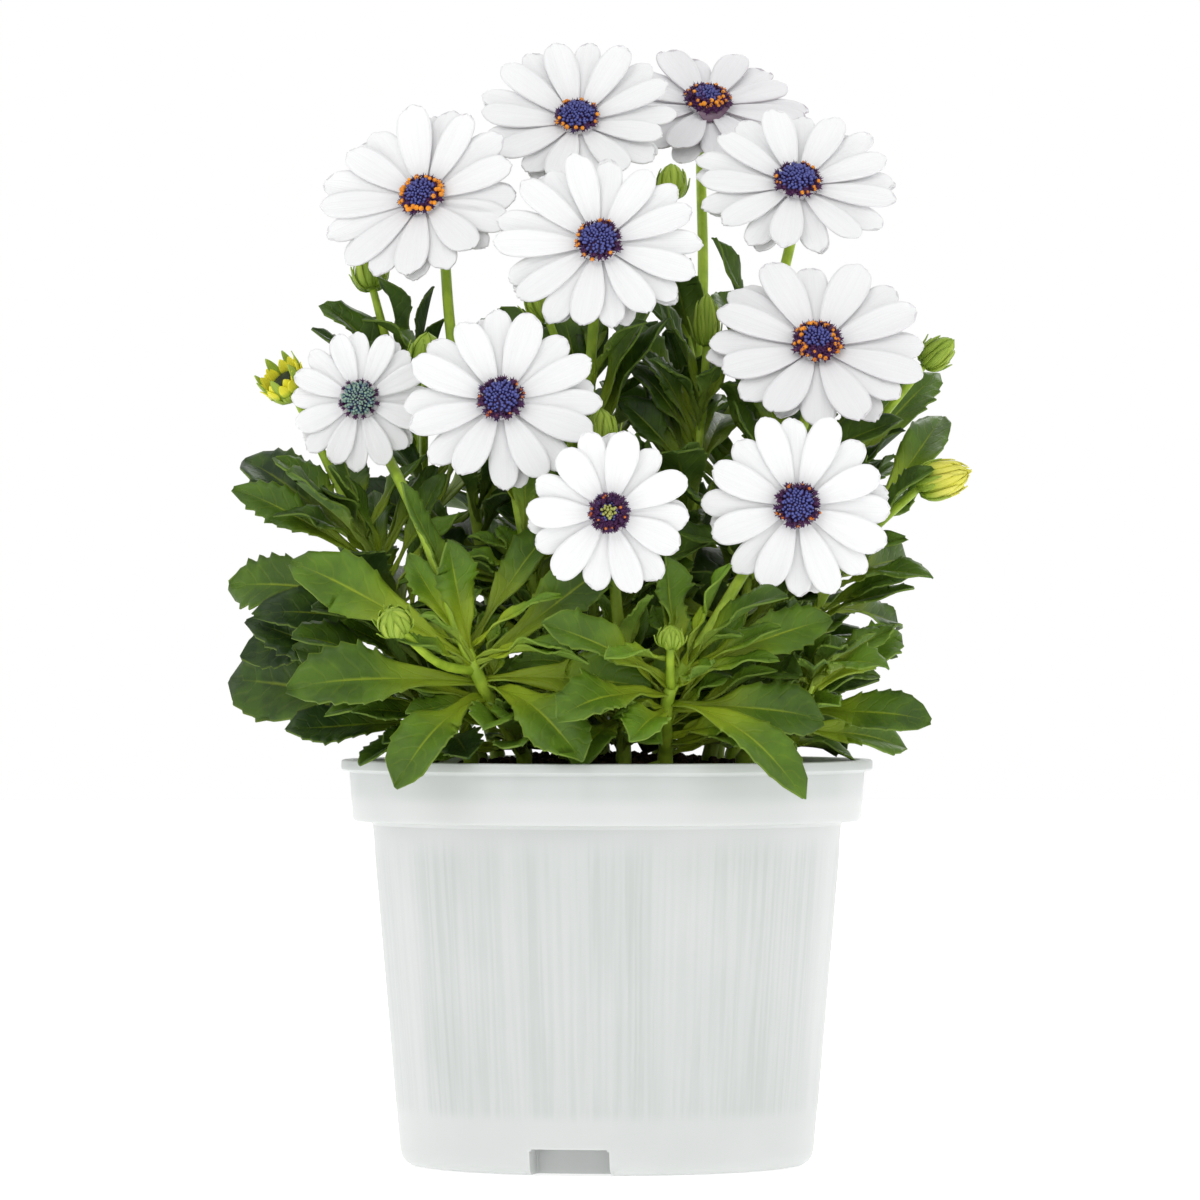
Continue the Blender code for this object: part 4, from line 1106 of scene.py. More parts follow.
def ramp(tree, value, low, high, to_low=0.0, to_high=1.0):
    """A value eased from one range to another."""
    node = tree.nodes.new("ShaderNodeMapRange")
    node.interpolation_type = "SMOOTHSTEP"
    for socket, given in zip(node.inputs[:5], (value, low, high, to_low, to_high)):
        feed(tree, socket, given)
    return node.outputs[0]


def blade_spot(tree):
    """(across, along) of a piece's own map, as shares."""
    node = tree.nodes.new("ShaderNodeUVMap")
    node.uv_map = "UVMap"
    parts = tree.nodes.new("ShaderNodeSeparateXYZ")
    tree.links.new(node.outputs[0], parts.inputs[0])
    return parts.outputs[0], parts.outputs[1]


def aside_of(work, across):
    """0 on a blade's rib and 1 at its margins."""
    return work("MULTIPLY", work("ABSOLUTE", work("SUBTRACT", across, 0.5)), 2.0)


def vein_group():
    """A leaf's pale rib and its slanting side veins, from the leaf's own across and along shares."""
    sizes = (("Rib width", 0.07), ("Pairs", 7.0), ("Slant", 1.6), ("Vein width", 0.16))
    tree, given, out = new_group("leaf veins", sizes, ("Rib", "Veins"))
    work = sums(tree)
    across, along = blade_spot(tree)
    aside = aside_of(work, across)
    taper = work("MULTIPLY", given.outputs["Rib width"], work("SUBTRACT", 1.9, work("MULTIPLY", along, 1.4)))
    rib = ramp(tree, aside, taper, 0.0)
    slant = work("MULTIPLY", aside, given.outputs["Slant"])
    phase = work("SUBTRACT", work("MULTIPLY", along, given.outputs["Pairs"]), slant)
    off = work("ABSOLUTE", work("SUBTRACT", work("FRACT", phase), 0.5))
    veins = ramp(tree, off, given.outputs["Vein width"], 0.0)
    fade = ramp(tree, aside, 1.0, 0.5)
    tree.links.new(rib, out.inputs["Rib"])
    tree.links.new(work("MULTIPLY", veins, fade), out.inputs["Veins"])
    return tree


def mottle_group():
    """Soft blotches and fine grain over a surface, on Object coordinates."""
    sizes = (("Scale", 100.0), ("Detail", 3.0), ("Low", 0.35), ("High", 0.65))
    tree, given, out = new_group("mottle", sizes, ("Value",))
    place = tree.nodes.new("ShaderNodeTexCoord")
    blotch = tree.nodes.new("ShaderNodeTexNoise")
    tree.links.new(place.outputs["Object"], blotch.inputs["Vector"])
    tree.links.new(given.outputs["Scale"], blotch.inputs["Scale"])
    tree.links.new(given.outputs["Detail"], blotch.inputs["Detail"])
    shown = ramp(tree, blotch.outputs[0], given.outputs["Low"], given.outputs["High"])
    tree.links.new(shown, out.inputs["Value"])
    return tree


def streak_group():
    """Fine lines that run along a blade, from its own across and along shares."""
    tree, given, out = new_group("streaks", (("Lines", 26.0), ("Along", 1.5)), ("Value",))
    across, along = blade_spot(tree)
    work = sums(tree)
    place = tree.nodes.new("ShaderNodeCombineXYZ")
    tree.links.new(work("MULTIPLY", across, given.outputs["Lines"]), place.inputs[0])
    tree.links.new(work("MULTIPLY", along, given.outputs["Along"]), place.inputs[1])
    lines = tree.nodes.new("ShaderNodeTexNoise")
    lines.inputs["Scale"].default_value = 1.0
    lines.inputs["Detail"].default_value = 2.0
    tree.links.new(place.outputs[0], lines.inputs["Vector"])
    tree.links.new(ramp(tree, lines.outputs[0], 0.3, 0.7), out.inputs["Value"])
    return tree


class Finish:
    """A Principled material under construction, with short ways to place groups and mixes."""

    def __init__(self, name, roughness, specular=0.5):
        self.material = bpy.data.materials.new(name)
        self.material.use_nodes = True
        self.tree = self.material.node_tree
        self.shader = self.tree.nodes["Principled BSDF"]
        self.shader.inputs["Roughness"].default_value = roughness
        self.shader.inputs["Specular IOR Level"].default_value = specular

    def group(self, group, output, **values):
        """An output of a shader group, with values for its inputs."""
        node = self.tree.nodes.new("ShaderNodeGroup")
        node.node_tree = group
        for label, value in values.items():
            node.inputs[label.replace("_", " ")].default_value = value
        return node.outputs[output]

    def tone(self, name="tone"):
        """A point attribute of the piece: its tone, or tip, the share of a floret's height."""
        node = self.tree.nodes.new("ShaderNodeAttribute")
        node.attribute_name = name
        return node.outputs["Fac"]

    def mix(self, share, first, second):
        """first where share is 0 and second where it is 1; colours are (r, g, b) or a socket."""
        node = self.tree.nodes.new("ShaderNodeMix")
        node.data_type = "RGBA"
        for key, value in (("Factor", share), (6, first), (7, second)):
            feed(self.tree, node.inputs[key], (*value, 1) if isinstance(value, tuple) else value)
        return node.outputs[2]

    def colour(self, source):
        """Feeds the finish's colour."""
        self.tree.links.new(source, self.shader.inputs["Base Color"])

    def bump(self, height, strength, distance, onto=None):
        """Feeds the finish's normal from heights, on top of another bump where given."""
        node = self.tree.nodes.new("ShaderNodeBump")
        node.inputs["Strength"].default_value = strength
        node.inputs["Distance"].default_value = distance
        self.tree.links.new(height, node.inputs["Height"])
        if onto:
            self.tree.links.new(onto, node.inputs["Normal"])
        self.tree.links.new(node.outputs[0], self.shader.inputs["Normal"])
        return node.outputs[0]


VEINS, MOTTLE, STREAKS = vein_group(), mottle_group(), streak_group()


def leaf_finish(name, dark, bright, rib_colour, roughness, specular):
    """Leaf green, dark or bright by the leaf's tone, with a lime foot and rib and a pale thin margin."""
    finish = Finish(name, roughness, specular)
    work = sums(finish.tree)
    tone = finish.tone()
    blotch = finish.group(MOTTLE, "Value", Scale=150.0)
    rib, veins = finish.group(VEINS, "Rib"), finish.group(VEINS, "Veins")
    across, along = blade_spot(finish.tree)
    aside = aside_of(work, across)
    lit = work("ADD", 0.3, work("MULTIPLY", tone, 0.7))
    # The leaf's tone holds painted shade, so leaves further back come out in the darker green here
    shade = work("ADD", tone, work("MULTIPLY", work("SUBTRACT", blotch, 0.5), 0.22))
    shade = work("ADD", shade, work("MULTIPLY", ramp(finish.tree, along, 0.75, 0.3), 0.12))
    blade = finish.mix(shade, dark, bright)
    blade = finish.mix(work("MULTIPLY", work("MULTIPLY", veins, 0.1), lit), blade, rib_colour)
    margin = work("MULTIPLY", ramp(finish.tree, aside, 0.93, 1.0), 0.16)
    foot_end = work("ADD", 0.36, work("MULTIPLY", tone, 0.4))
    foot = work("MULTIPLY", ramp(finish.tree, along, foot_end, 0.04), 0.9)
    rib = work("MULTIPLY", rib, ramp(finish.tree, along, 0.95, 0.55, 0.15, 0.85))
    pale = work("MULTIPLY", work("MAXIMUM", rib, foot), lit)
    finish.colour(finish.mix(work("MAXIMUM", pale, margin), blade, rib_colour))
    low = finish.bump(work("ADD", rib, work("MULTIPLY", veins, 0.5)), 0.6, -0.25 * MM)
    finish.bump(finish.group(MOTTLE, "Value", Scale=900.0), 0.25, 0.08 * MM, low)
    return finish.material


def stem_finish():
    """Lime green stalks with fine ridges, reddish where their tone is high."""
    finish = Finish("stem", 0.45, 0.35)
    work = sums(finish.tree)
    blotch = finish.group(MOTTLE, "Value", Scale=220.0)
    green = finish.mix(blotch, (0.27, 0.41, 0.025), (0.4, 0.56, 0.045))
    red = ramp(finish.tree, finish.tone(), 0.6, 1.0)
    finish.colour(finish.mix(work("MULTIPLY", red, 0.5), green, (0.3, 0.1, 0.03)))
    finish.bump(finish.group(STREAKS, "Value", Lines=14.0), 0.35, 0.1 * MM)
    return finish.material


def petal_finish(name, fair, shade, depth):
    """Petal white with faint lengthwise lines, cooler at its root and in its tone's share."""
    finish = Finish(name, 0.6, 0.2)
    work = sums(finish.tree)
    lines = finish.group(STREAKS, "Value", Lines=20.0, Along=1.0)
    _, along = blade_spot(finish.tree)
    root = ramp(finish.tree, along, 0.34, 0.0)
    share = work("ADD", work("MULTIPLY", lines, depth), work("MULTIPLY", root, 0.3))
    share = work("ADD", share, work("MULTIPLY", finish.tone(), 0.9))
    finish.colour(finish.mix(work("MINIMUM", share, 1.0), fair, shade))
    finish.shader.inputs["Subsurface Weight"].default_value = 0.2
    finish.shader.inputs["Subsurface Radius"].default_value = (1.0, 0.98, 0.98)
    finish.shader.inputs["Subsurface Scale"].default_value = 1.2 * MM
    finish.bump(lines, 0.3, 0.12 * MM)
    return finish.material


def floret_finish():
    """Eye florets by tone: open ones purple, closed ones blue to teal; all are lighter at their heads."""
    finish = Finish("floret", 0.5, 0.35)
    tone = finish.tone()
    blue, teal = ramp(finish.tree, tone, 0.22, 0.42), ramp(finish.tree, tone, 0.72, 1.0)
    foot = finish.mix(blue, (0.05, 0.008, 0.055), (0.03, 0.02, 0.11))
    foot = finish.mix(teal, foot, (0.03, 0.08, 0.19))
    head = finish.mix(blue, (0.13, 0.03, 0.13), (0.09, 0.105, 0.34))
    head = finish.mix(teal, head, (0.27, 0.4, 0.28))
    finish.colour(finish.mix(ramp(finish.tree, finish.tone("tip"), 0.55, 0.95), foot, head))
    return finish.material


def plain_finish(name, dark, bright, scale, roughness, specular=0.4, bump=0.1):
    """A finish that varies softly between two colours, by its tone and with a fine grain."""
    finish = Finish(name, roughness, specular)
    work = sums(finish.tree)
    blotch = finish.group(MOTTLE, "Value", Scale=scale)
    share = work("ADD", work("MULTIPLY", blotch, 0.35), work("MULTIPLY", finish.tone(), 0.65))
    finish.colour(finish.mix(share, dark, bright))
    finish.bump(finish.group(MOTTLE, "Value", Scale=scale * 4), 0.4, bump * MM)
    return finish.material


def ray_finish(name, foot, blade, pale, rise):
    """A furled ray or bract: one colour at its foot, and lengthwise streaks of two colours above it."""
    finish = Finish(name, 0.55, 0.3)
    work = sums(finish.tree)
    lines = finish.group(STREAKS, "Value", Lines=9.0, Along=1.0)
    _, along = blade_spot(finish.tree)
    share = work("ADD", work("MULTIPLY", lines, 0.6), work("MULTIPLY", finish.tone(), 0.4))
    finish.colour(finish.mix(ramp(finish.tree, along, rise, 0.0), finish.mix(share, blade, pale), foot))
    finish.bump(lines, 0.4, 0.15 * MM)
    return finish.material


def soil_finish():
    """Moist dark peat."""
    finish = Finish("peat", 0.95, 0.2)
    blotch = finish.group(MOTTLE, "Value", Scale=350.0, Detail=6.0)
    finish.colour(finish.mix(blotch, (0.018, 0.011, 0.008), (0.09, 0.05, 0.028)))
    finish.bump(finish.group(MOTTLE, "Value", Scale=1400.0, Detail=6.0), 0.8, 0.4 * MM)
    return finish.material


# Heights between which the pot's streaks come in, fade out, and its band darkens
STREAKS_START, STREAKS_END, BAND_STARTS = (12 * MM, 16 * MM), (83 * MM, 74 * MM), (88 * MM, 92 * MM)


def pot_finish():
    """Milky plastic: fine upright grey-green streaks from the moulding between a clear foot and band."""
    finish = Finish("milky_plastic", 0.38, 0.4)
    tree, work = finish.tree, sums(finish.tree)

    def vector(operation, first, second=None):
        node = tree.nodes.new("ShaderNodeVectorMath")
        node.operation = operation
        tree.links.new(first, node.inputs[0])
        if second:
            node.inputs[1].default_value = second
        return node.outputs[0]

    def noise(source, scale, detail):
        node = tree.nodes.new("ShaderNodeTexNoise")
        node.inputs["Scale"].default_value, node.inputs["Detail"].default_value = scale, detail
        tree.links.new(source, node.inputs["Vector"])
        return node.outputs[0]

    place = tree.nodes.new("ShaderNodeTexCoord").outputs["Object"]
    parts = tree.nodes.new("ShaderNodeSeparateXYZ")
    tree.links.new(place, parts.inputs[0])
    height = parts.outputs[2]
    # The way out from the pot's middle, the same all the way up but for a slight drift
    way = vector("NORMALIZE", vector("MULTIPLY", place, (1, 1, 0.025)))
    ribbed = work("MULTIPLY", ramp(tree, height, *STREAKS_START), ramp(tree, height, *STREAKS_END))
    fine = ramp(tree, noise(way, 46, 1), 0.34, 0.66)
    broad = ramp(tree, noise(way, 3.6, 2), 0.3, 0.7)
    cloud = finish.group(MOTTLE, "Value", Scale=26.0, Detail=2.0)
    lines = work("MULTIPLY", fine, work("MULTIPLY", ribbed, work("ADD", 0.3, work("MULTIPLY", broad, 0.7))))
    share = work("ADD", work("MULTIPLY", lines, 0.4), work("MULTIPLY", work("MULTIPLY", ribbed, broad), 0.26))
    share = work("ADD", share, work("MULTIPLY", cloud, 0.2))
    band = work("MULTIPLY", ramp(tree, height, *BAND_STARTS), work("ADD", 0.3, work("MULTIPLY", broad, 0.3)))
    share = work("ADD", share, band)
    finish.colour(finish.mix(share, (0.61, 0.625, 0.615), (0.48, 0.51, 0.495)))
    finish.shader.inputs["Subsurface Weight"].default_value = 0.25
    finish.shader.inputs["Subsurface Radius"].default_value = (1.0, 1.0, 1.0)
    finish.shader.inputs["Subsurface Scale"].default_value = 3 * MM
    finish.bump(lines, 0.25, 0.15 * MM)
    return finish.material


LEAF = leaf_finish(
    "leaf", (0.015, 0.038, 0.006), (0.13, 0.25, 0.012), (0.36, 0.45, 0.02), roughness=0.42, specular=0.25
)
LEAF_BACK = leaf_finish(
    "leaf_back", (0.035, 0.075, 0.016), (0.16, 0.27, 0.035), (0.34, 0.44, 0.05), roughness=0.55, specular=0.15
)
STEM = stem_finish()
BRACT = ray_finish("bract", (0.22, 0.34, 0.025), (0.16, 0.28, 0.015), (0.42, 0.54, 0.07), 0.5)
PETAL = petal_finish("petal", (0.87, 0.875, 0.875), (0.64, 0.63, 0.66), 0.11)
PETAL_BACK = petal_finish("petal_back", (0.8, 0.8, 0.81), (0.16, 0.09, 0.14), 0.06)
FLORET = floret_finish()
POLLEN = plain_finish("pollen", (0.4, 0.06, 0.01), (0.96, 0.36, 0.015), 900.0, 0.6)
TUFT = plain_finish("tuft", (0.22, 0.25, 0.05), (0.55, 0.55, 0.16), 900.0, 0.6)
YELLOW_RAY = ray_finish("yellow_ray", (0.33, 0.46, 0.02), (0.74, 0.68, 0.02), (0.86, 0.82, 0.06), 0.5)
CREAM_RAY = ray_finish("cream_ray", (0.27, 0.4, 0.02), (0.62, 0.6, 0.03), (0.76, 0.73, 0.16), 0.75)
DARK_MIDDLE = plain_finish("spent_middle", (0.01, 0.015, 0.005), (0.06, 0.09, 0.02), 700.0, 0.8)
PEAT = soil_finish()
MILKY_PLASTIC = pot_finish()
# The finishes of a green shoot, and the number of each on its piece
FOLIAGE = [LEAF, LEAF_BACK, STEM, BRACT]
UPPER, UNDER, STALK, GREEN_BRACT = range(4)


# Blooms
# Each eye: the share of its radius where open florets begin, the tone of its closed ones (0 violet,
# 0.5 blue, 1 teal), how many grains of pollen it shows, their size and their tone (0 red, 1 orange)
EYES = {
    "01": (0.84, 0.55, 13, 1.1, 0.9), "02": (0.6, 0.45, 30, 1.2, 0.9), "03": (0.84, 0.55, 11, 1.05, 0.8),
    "04": (0.72, 0.5, 30, 1.35, 1.0), "05": (0.84, 0.6, 13, 1.05, 0.8), "06": (0.6, 0.5, 46, 1.15, 0.8),
    "07": (0.93, 1.0, 0, 1, 0), "08": (0.8, 0.6, 14, 0.7, 0.2), "09": (0.5, 0.4, 10, 0.7, 0.1),
    "10": (0.78, 0.6, 12, 0.75, 0.3),
}
# The youngest eye opens from its edge and still has a pale tuft in its middle
TUFTED = "09"
TUFT_SHARE, TUFT_LIFT, TUFT_SIZE = 0.36, 0.7, 1.15
FLORETS = 140
FLORET_LENGTH = 1.2 * MM
OPEN_TONE = 0.18
DOME_HEIGHT = 2.4 * MM
# The dome's height falls with this power of the share of its radius
DOME_POWER = 2.6
# The radius of the dome on which a floret has its true size
MIDDLING_EYE = 4.25 * MM
POINTS_TREE, FACES_TREE = tree_on_points(), tree_over_faces()


def small_turned(points, sides):
    """An upright turned shape from (radius, height) points in millimetres."""
    return turned([(radius * MM, height * MM, 0) for radius, height in points], sides, Matrix.Identity(4))


def closed_floret():
    """A closed floret: a slim six-sided bud with a blunt head."""
    outline = ((0, -0.5), (0.24, -0.5), (0.34, 0.3), (0.24, 0.62), (0, 0.8))
    return small_piece("closed_floret", small_turned(outline, 6))


def open_floret():
    """An open floret: a slim tube with five pointed lobes bent outwards and a style between them."""
    lobes = 5
    bm = small_turned(((0, -0.5), (0.22, -0.5), (0.34, 0.8), (0.12, 0.85), (0, 1.5)), lobes)
    for k in range(lobes):
        a = math.tau * (k + 0.5) / lobes
        out, side = Vector((math.cos(a), math.sin(a), 0)), Vector((-math.sin(a), math.cos(a), 0))
        root, tip = out * 0.24 * MM + Vector((0, 0, 0.78 * MM)), out * 0.72 * MM + Vector((0, 0, 1.05 * MM))
        left, right = (bm.verts.new(root + side * 0.2 * MM * s) for s in (-1, 1))
        under = bm.verts.new(root - Vector((0, 0, 0.2 * MM)))
        end = bm.verts.new(tip)
        for face in ((left, end, right), (left, under, end), (right, end, under), (left, right, under)):
            bm.faces.new(face)
    bmesh.ops.recalc_face_normals(bm, faces=bm.faces[:])
    return small_piece("open_floret", bm)


def grain():
    """A round grain of pollen."""
    bm = bmesh.new()
    bmesh.ops.create_icosphere(bm, subdivisions=2, radius=0.5 * MM)
    return small_piece("grain", bm)


CLOSED_FLORET, OPEN_FLORET, GRAIN = closed_floret(), open_floret(), grain()


def clamped(share):
    """A share kept between 0 and 1."""
    return min(1, max(0, share))


def dome_radius(bloom):
    """The radius of an eye's dome, under its florets."""
    return bloom.disc * MM - FLORET_LENGTH


def dome_height(share):
    """The height of an eye's dome over its core, at a share of its radius."""
    return DOME_HEIGHT * (1 - share**DOME_POWER)


def eye_points(bloom, low, high):
    """Golden-angle points over a share of the eye's dome: (place, facing, share)."""
    frame = bloom_frame(bloom)
    radius = dome_radius(bloom)
    draw = random.Random(int(bloom.name))
    found = []
    for i in range(FLORETS):
        share = math.sqrt((i + 0.5) / FLORETS)
        if not low <= share < high:
            continue
        jog = Vector((draw.uniform(-0.2, 0.2), draw.uniform(-0.2, 0.2), draw.uniform(-0.2, 0.2)))
        angle = math.radians(GOLDEN_ANGLE) * i + jog.z * 0.5
        out = Vector((math.cos(angle), math.sin(angle), 0))
        place = out * radius * share + Vector((0, 0, CORE_HIGH + dome_height(share) + jog.x * MM))
        slope = DOME_POWER * DOME_HEIGHT * share ** (DOME_POWER - 1) / radius
        facing = (Vector((0, 0, 1)) + out * slope * 1.15 + jog.cross(out)).normalized()
        found.append((frame @ place, frame.to_3x3() @ facing, share))
    return found


def set_on(name, places, facings, sizes, tones, piece, finish, spread=0.1, seed=0):
    """A small piece set on each place, along its facing and at its size, in one mesh."""
    base = points_object(name, places, facings, sizes, tones)
    values = {"Piece": piece, "Finish": finish, "Size spread": spread, "Seed": seed}
    return grown(name, base, POINTS_TREE, values)


def make_eye(bloom):
    """The eye of a bloom: a dark dome set with closed florets, ringed by open ones with pollen."""
    draw = random.Random(int(bloom.name) * 17 + 1)
    split, hue, pollen, grain_size, grain_tone = EYES[bloom.name]
    radius = dome_radius(bloom)
    dome = Piece("dome")
    foot = CORE_HIGH + CLEARANCE
    outline = [(0, foot), (radius * 0.94, foot)]
    outline += [(radius * s, CORE_HIGH + dome_height(s)) for s in (0.95, 0.85, 0.65, 0.4)]
    add_turned(dome, [*outline, (0, CORE_HIGH + DOME_HEIGHT)], 28, bloom_frame(bloom), 0.05, 0)
    parts = [dome.made([FLORET])]
    groups = [
        ("closed_florets", CLOSED_FLORET, 0, split, hue, 0.45),
        ("open_florets", OPEN_FLORET, split, 1.2, OPEN_TONE, 0.3),
    ]
    for name, piece, low, high, tone, swell in groups:
        places, facings, shares = zip(*eye_points(bloom, low, high))
        tones = [clamped(tone + draw.uniform(-0.14, 0.14)) for _ in places]
        sizes = [(0.95 + swell * s) * radius / MIDDLING_EYE for s in shares]
        parts.append(set_on(name, places, facings, sizes, tones, piece, FLORET, 0.2, int(bloom.name)))
    ring = eye_points(bloom, split, 1.2)
    chosen = draw.sample(ring, min(pollen, len(ring)))
    grains = [(place + facing * draw.uniform(1.0, 1.45) * MM, facing) for place, facing, _ in chosen]
    sizes = [grain_size * draw.uniform(0.75, 1.1) for _ in grains]
    tones = [clamped(grain_tone + draw.uniform(-0.2, 0.1)) for _ in grains]
    if grains:
        parts.append(set_on("pollen", *zip(*grains), sizes, tones, GRAIN, POLLEN))
    if bloom.name == TUFTED:
        places, facings, _ = zip(*eye_points(bloom, 0, TUFT_SHARE))
        places = [place + facing * TUFT_LIFT * MM for place, facing in zip(places, facings)]
        sizes, tones = [TUFT_SIZE] * len(places), [0.5] * len(places)
        parts.append(set_on("tuft", places, facings, sizes, tones, CLOSED_FLORET, TUFT, 0.2))
    return one_object("eye_" + bloom.name, parts)


# Older blooms are greyer
DULLNESS = {"02": 0.35, "06": 0.12, "01": 0.06, "04": 0.06}
# The share of a ring's petals that it has again in a third row behind
THIRD_ROW = {"01": 0.5, "02": 0.4, "03": 0.5, "04": 0.5, "05": 0.5, "06": 0.4, "07": 0.45}
FEWEST_THIRDS = 0.25


def third_row(bloom):
    """Petals behind the two rows, seen in the gaps near their tips."""
    draw = random.Random(int(bloom.name) * 29 + 1)
    count = round(bloom.petals * THIRD_ROW.get(bloom.name, FEWEST_THIRDS))
    return [
        petal_blade(
            bloom,
            turn=math.tau * (k + draw.uniform(-0.1, 0.1)) / count + math.pi * 0.5 / bloom.petals,
            rise=math.radians(bloom.cone - 2 + draw.uniform(-1, 1)),
            root_out=THIRD_ROOT_OUT,
            root_height=THIRD_ROOT,
            reach=bloom.reach * MM * draw.uniform(0.9, 0.99),
            width=bloom.reach * MM * 2.0 * draw.uniform(0.9, 1.05),
            arch=draw.uniform(10, 15),
            twist=draw.uniform(-5, 5),
        )
        for k in range(count)
    ]


def lowered(bloom, blade):
    """A raised petal let down onto its neighbours, so that only a thin shadow parts them."""
    facing = bloom_frame(bloom).to_3x3() @ Vector((0, 0, 1))
    fall = math.sin(math.radians(2.4))
    return blade._replace(
        root=blade.root - facing * 0.3 * MM,
        along=(blade.along - facing * fall).normalized(),
        up=(blade.up + blade.along * fall).normalized(),
        width=blade.width * 1.04,
    )


def curled_petal(bloom):
    """A small petal that has curled over the right of the eye, so that its back shows."""
    return Blade(
        root=mm(bloom.centre) + Vector((6.0, -3.4, 0.4)) * MM,
        along=Vector((-0.86, -0.25, -0.44)).normalized(),
        up=Vector((0.1, 0.9, -0.35)).normalized(),
        length=9 * MM, width=4.6 * MM, arch=25, twist=10, fold=PETAL_FOLD,
    )


# The bloom behind, which has one petal that curls and the most painted shade on its lower petals
FADING_AND_SHADED = "02"
FACE, BACK = range(2)


def make_petals(bloom):
    """The rows of petals with the pale core that holds them."""
    draw = random.Random(int(bloom.name) * 11 + 2)
    piece = Piece("petals_" + bloom.name)
    if bloom.name == FADING_AND_SHADED:
        add_sheet(piece, petal_grid(curled_petal(bloom), draw), PETAL_THICKNESS, 1, FACE, BACK)
    ring = [lowered(bloom, blade) if i % 2 else blade for i, blade in enumerate(petal_blades(bloom))]
    for blade in (*ring, *third_row(bloom)):
        # Painted shade: petals that point down are greyer, most of all on the bloom behind
        low = max(0, -blade.along.z) * (0.3 if bloom.name == FADING_AND_SHADED else 0.08)
        tone = DULLNESS.get(bloom.name, 0.0) + low + draw.uniform(0.0, 0.12)
        add_sheet(piece, petal_grid(blade, draw), PETAL_THICKNESS, tone, FACE, BACK)
    core = [(0, CORE_LOW), (CORE_RADIUS, CORE_LOW), (CORE_RADIUS, CORE_HIGH), (0, CORE_HIGH)]
    add_turned(piece, core, 24, bloom_frame(bloom), 0.3, BACK)
    return piece.made([PETAL, PETAL_BACK])


# Buds and shoots
BRACT_THICKNESS = 0.25 * MM
KEEL_HEIGHT = 0.22 * MM


def hugging_grid(frame, angle, outline, low, high, width, stand, flare):
    """The points of a narrow keeled bract that hugs an outline between two heights and flares at its tip."""
    radii, heights = zip(*outline)
    grid = []
    for share in np.linspace(0, 1, 10):
        height = low + (high - low) * share
        radius = float(np.interp(height, heights, radii)) + stand + flare * share**3
        half = width / 2 * (math.sin(math.pi * (0.2 + 0.79 * share)) ** 0.75 + 0.02)
        row = []
        for t in np.linspace(-1, 1, 5):
            a = angle + t * half / max(radius, 0.7 * MM)
            reach = radius + KEEL_HEIGHT * (1 - abs(t)) * (1 - share)
            row.append(frame @ Vector((reach * math.cos(a), reach * math.sin(a), height)))
        grid.append(row)
    return grid


def add_bracts(piece, frame, outline, rows, draw, finish, tones=(0.1, 0.9)):
    """Rings of bracts: each row gives count, low, high, width, stand and flare."""
    for index, (count, low, high, width, stand, flare) in enumerate(rows):
        for k in range(count):
            angle = math.tau * (k + index / 2) / count + draw.uniform(-0.1, 0.1)
            top = low + (high - low) * draw.uniform(0.9, 1.03)
            grid = hugging_grid(frame, angle, outline, low, top, width, stand, flare * draw.uniform(0.3, 1))
            add_sheet(piece, grid, BRACT_THICKNESS, draw.uniform(*tones), finish, finish)


def add_cup(piece, bloom, draw):
    """The green cup under a bloom, wrapped in two rows of narrow bracts."""
    frame = bloom_frame(bloom)
    top = CORE_LOW - CLEARANCE
    outline = [
        (0, top - CUP_DEPTH), (STALK_RADIUS, top - CUP_DEPTH), (1.7 * MM, top - 6.5 * MM),
        (3.2 * MM, top - 4.4 * MM), (4.1 * MM, top - 1.5 * MM), (4.4 * MM, top),
    ]
    add_turned(piece, [*outline, (0, top)], BUD_SIDES, frame, 0.3, GREEN_BRACT)
    rows = [
        (11, top - 6 * MM, top, 2.4 * MM, 0.15 * MM, 0.2 * MM),
        (11, top - 6.6 * MM, top - 1.7 * MM, 2.0 * MM, 0.45 * MM, 0.5 * MM),
    ]
    add_bracts(piece, frame, outline[1:], rows, draw, GREEN_BRACT)


# The outline of a bud and of its parts: shares of its radius and of its length
BUD_FOOT = ((0, -0.06), (0.5, 0.0), (0.8, 0.12), (0.95, 0.28), (0.96, 0.38))
BUD_HEAD = ((0.88, 0.55), (0.7, 0.74), (0.42, 0.9), (0, 1))
BUD_OUTLINES = {
    "whole": (*BUD_FOOT, *BUD_HEAD),
    "cup": (*BUD_FOOT, (0, 0.38)),
    "tip": ((0, 0.41), (0.93, 0.41), *BUD_HEAD),
    "sunk tip": ((0, 0.41), (0.86, 0.41), (0.84, 0.5), (0.6, 0.6), (0.3, 0.64), (0, 0.65)),
    "open rim": ((0.9, 0.0), (0.95, 0.4), (1.0, 0.6), (1.05, 0.8), (1.0, 1.2)),
}
BUD_SIDES = 20


def bud_outline(bud, part="whole"):
    """The outline of a bud or of a part of it, as (radius, height) points."""
    return [(r * bud.radius * MM, h * bud.length * MM) for r, h in BUD_OUTLINES[part]]


# Buds slimmer than the room kept for them, by the height of their twig: shares of radius and of length
SLIM_BUDS = {
    117: (0.66, 0.75), 121: (0.84, 0.85), 150: (0.74, 0.82), 156: (0.85, 0.95), 174: (0.74, 0.86),
    181: (0.6, 1.05), 190: (0.85, 0.9), 192: (0.9, 0.95),
}


def slimmed(bud):
    """The bud at the size that it has here."""
    slim, short = SLIM_BUDS.get(bud.foot_height, (1, 1))
    return bud._replace(radius=bud.radius * slim, length=bud.length * short)


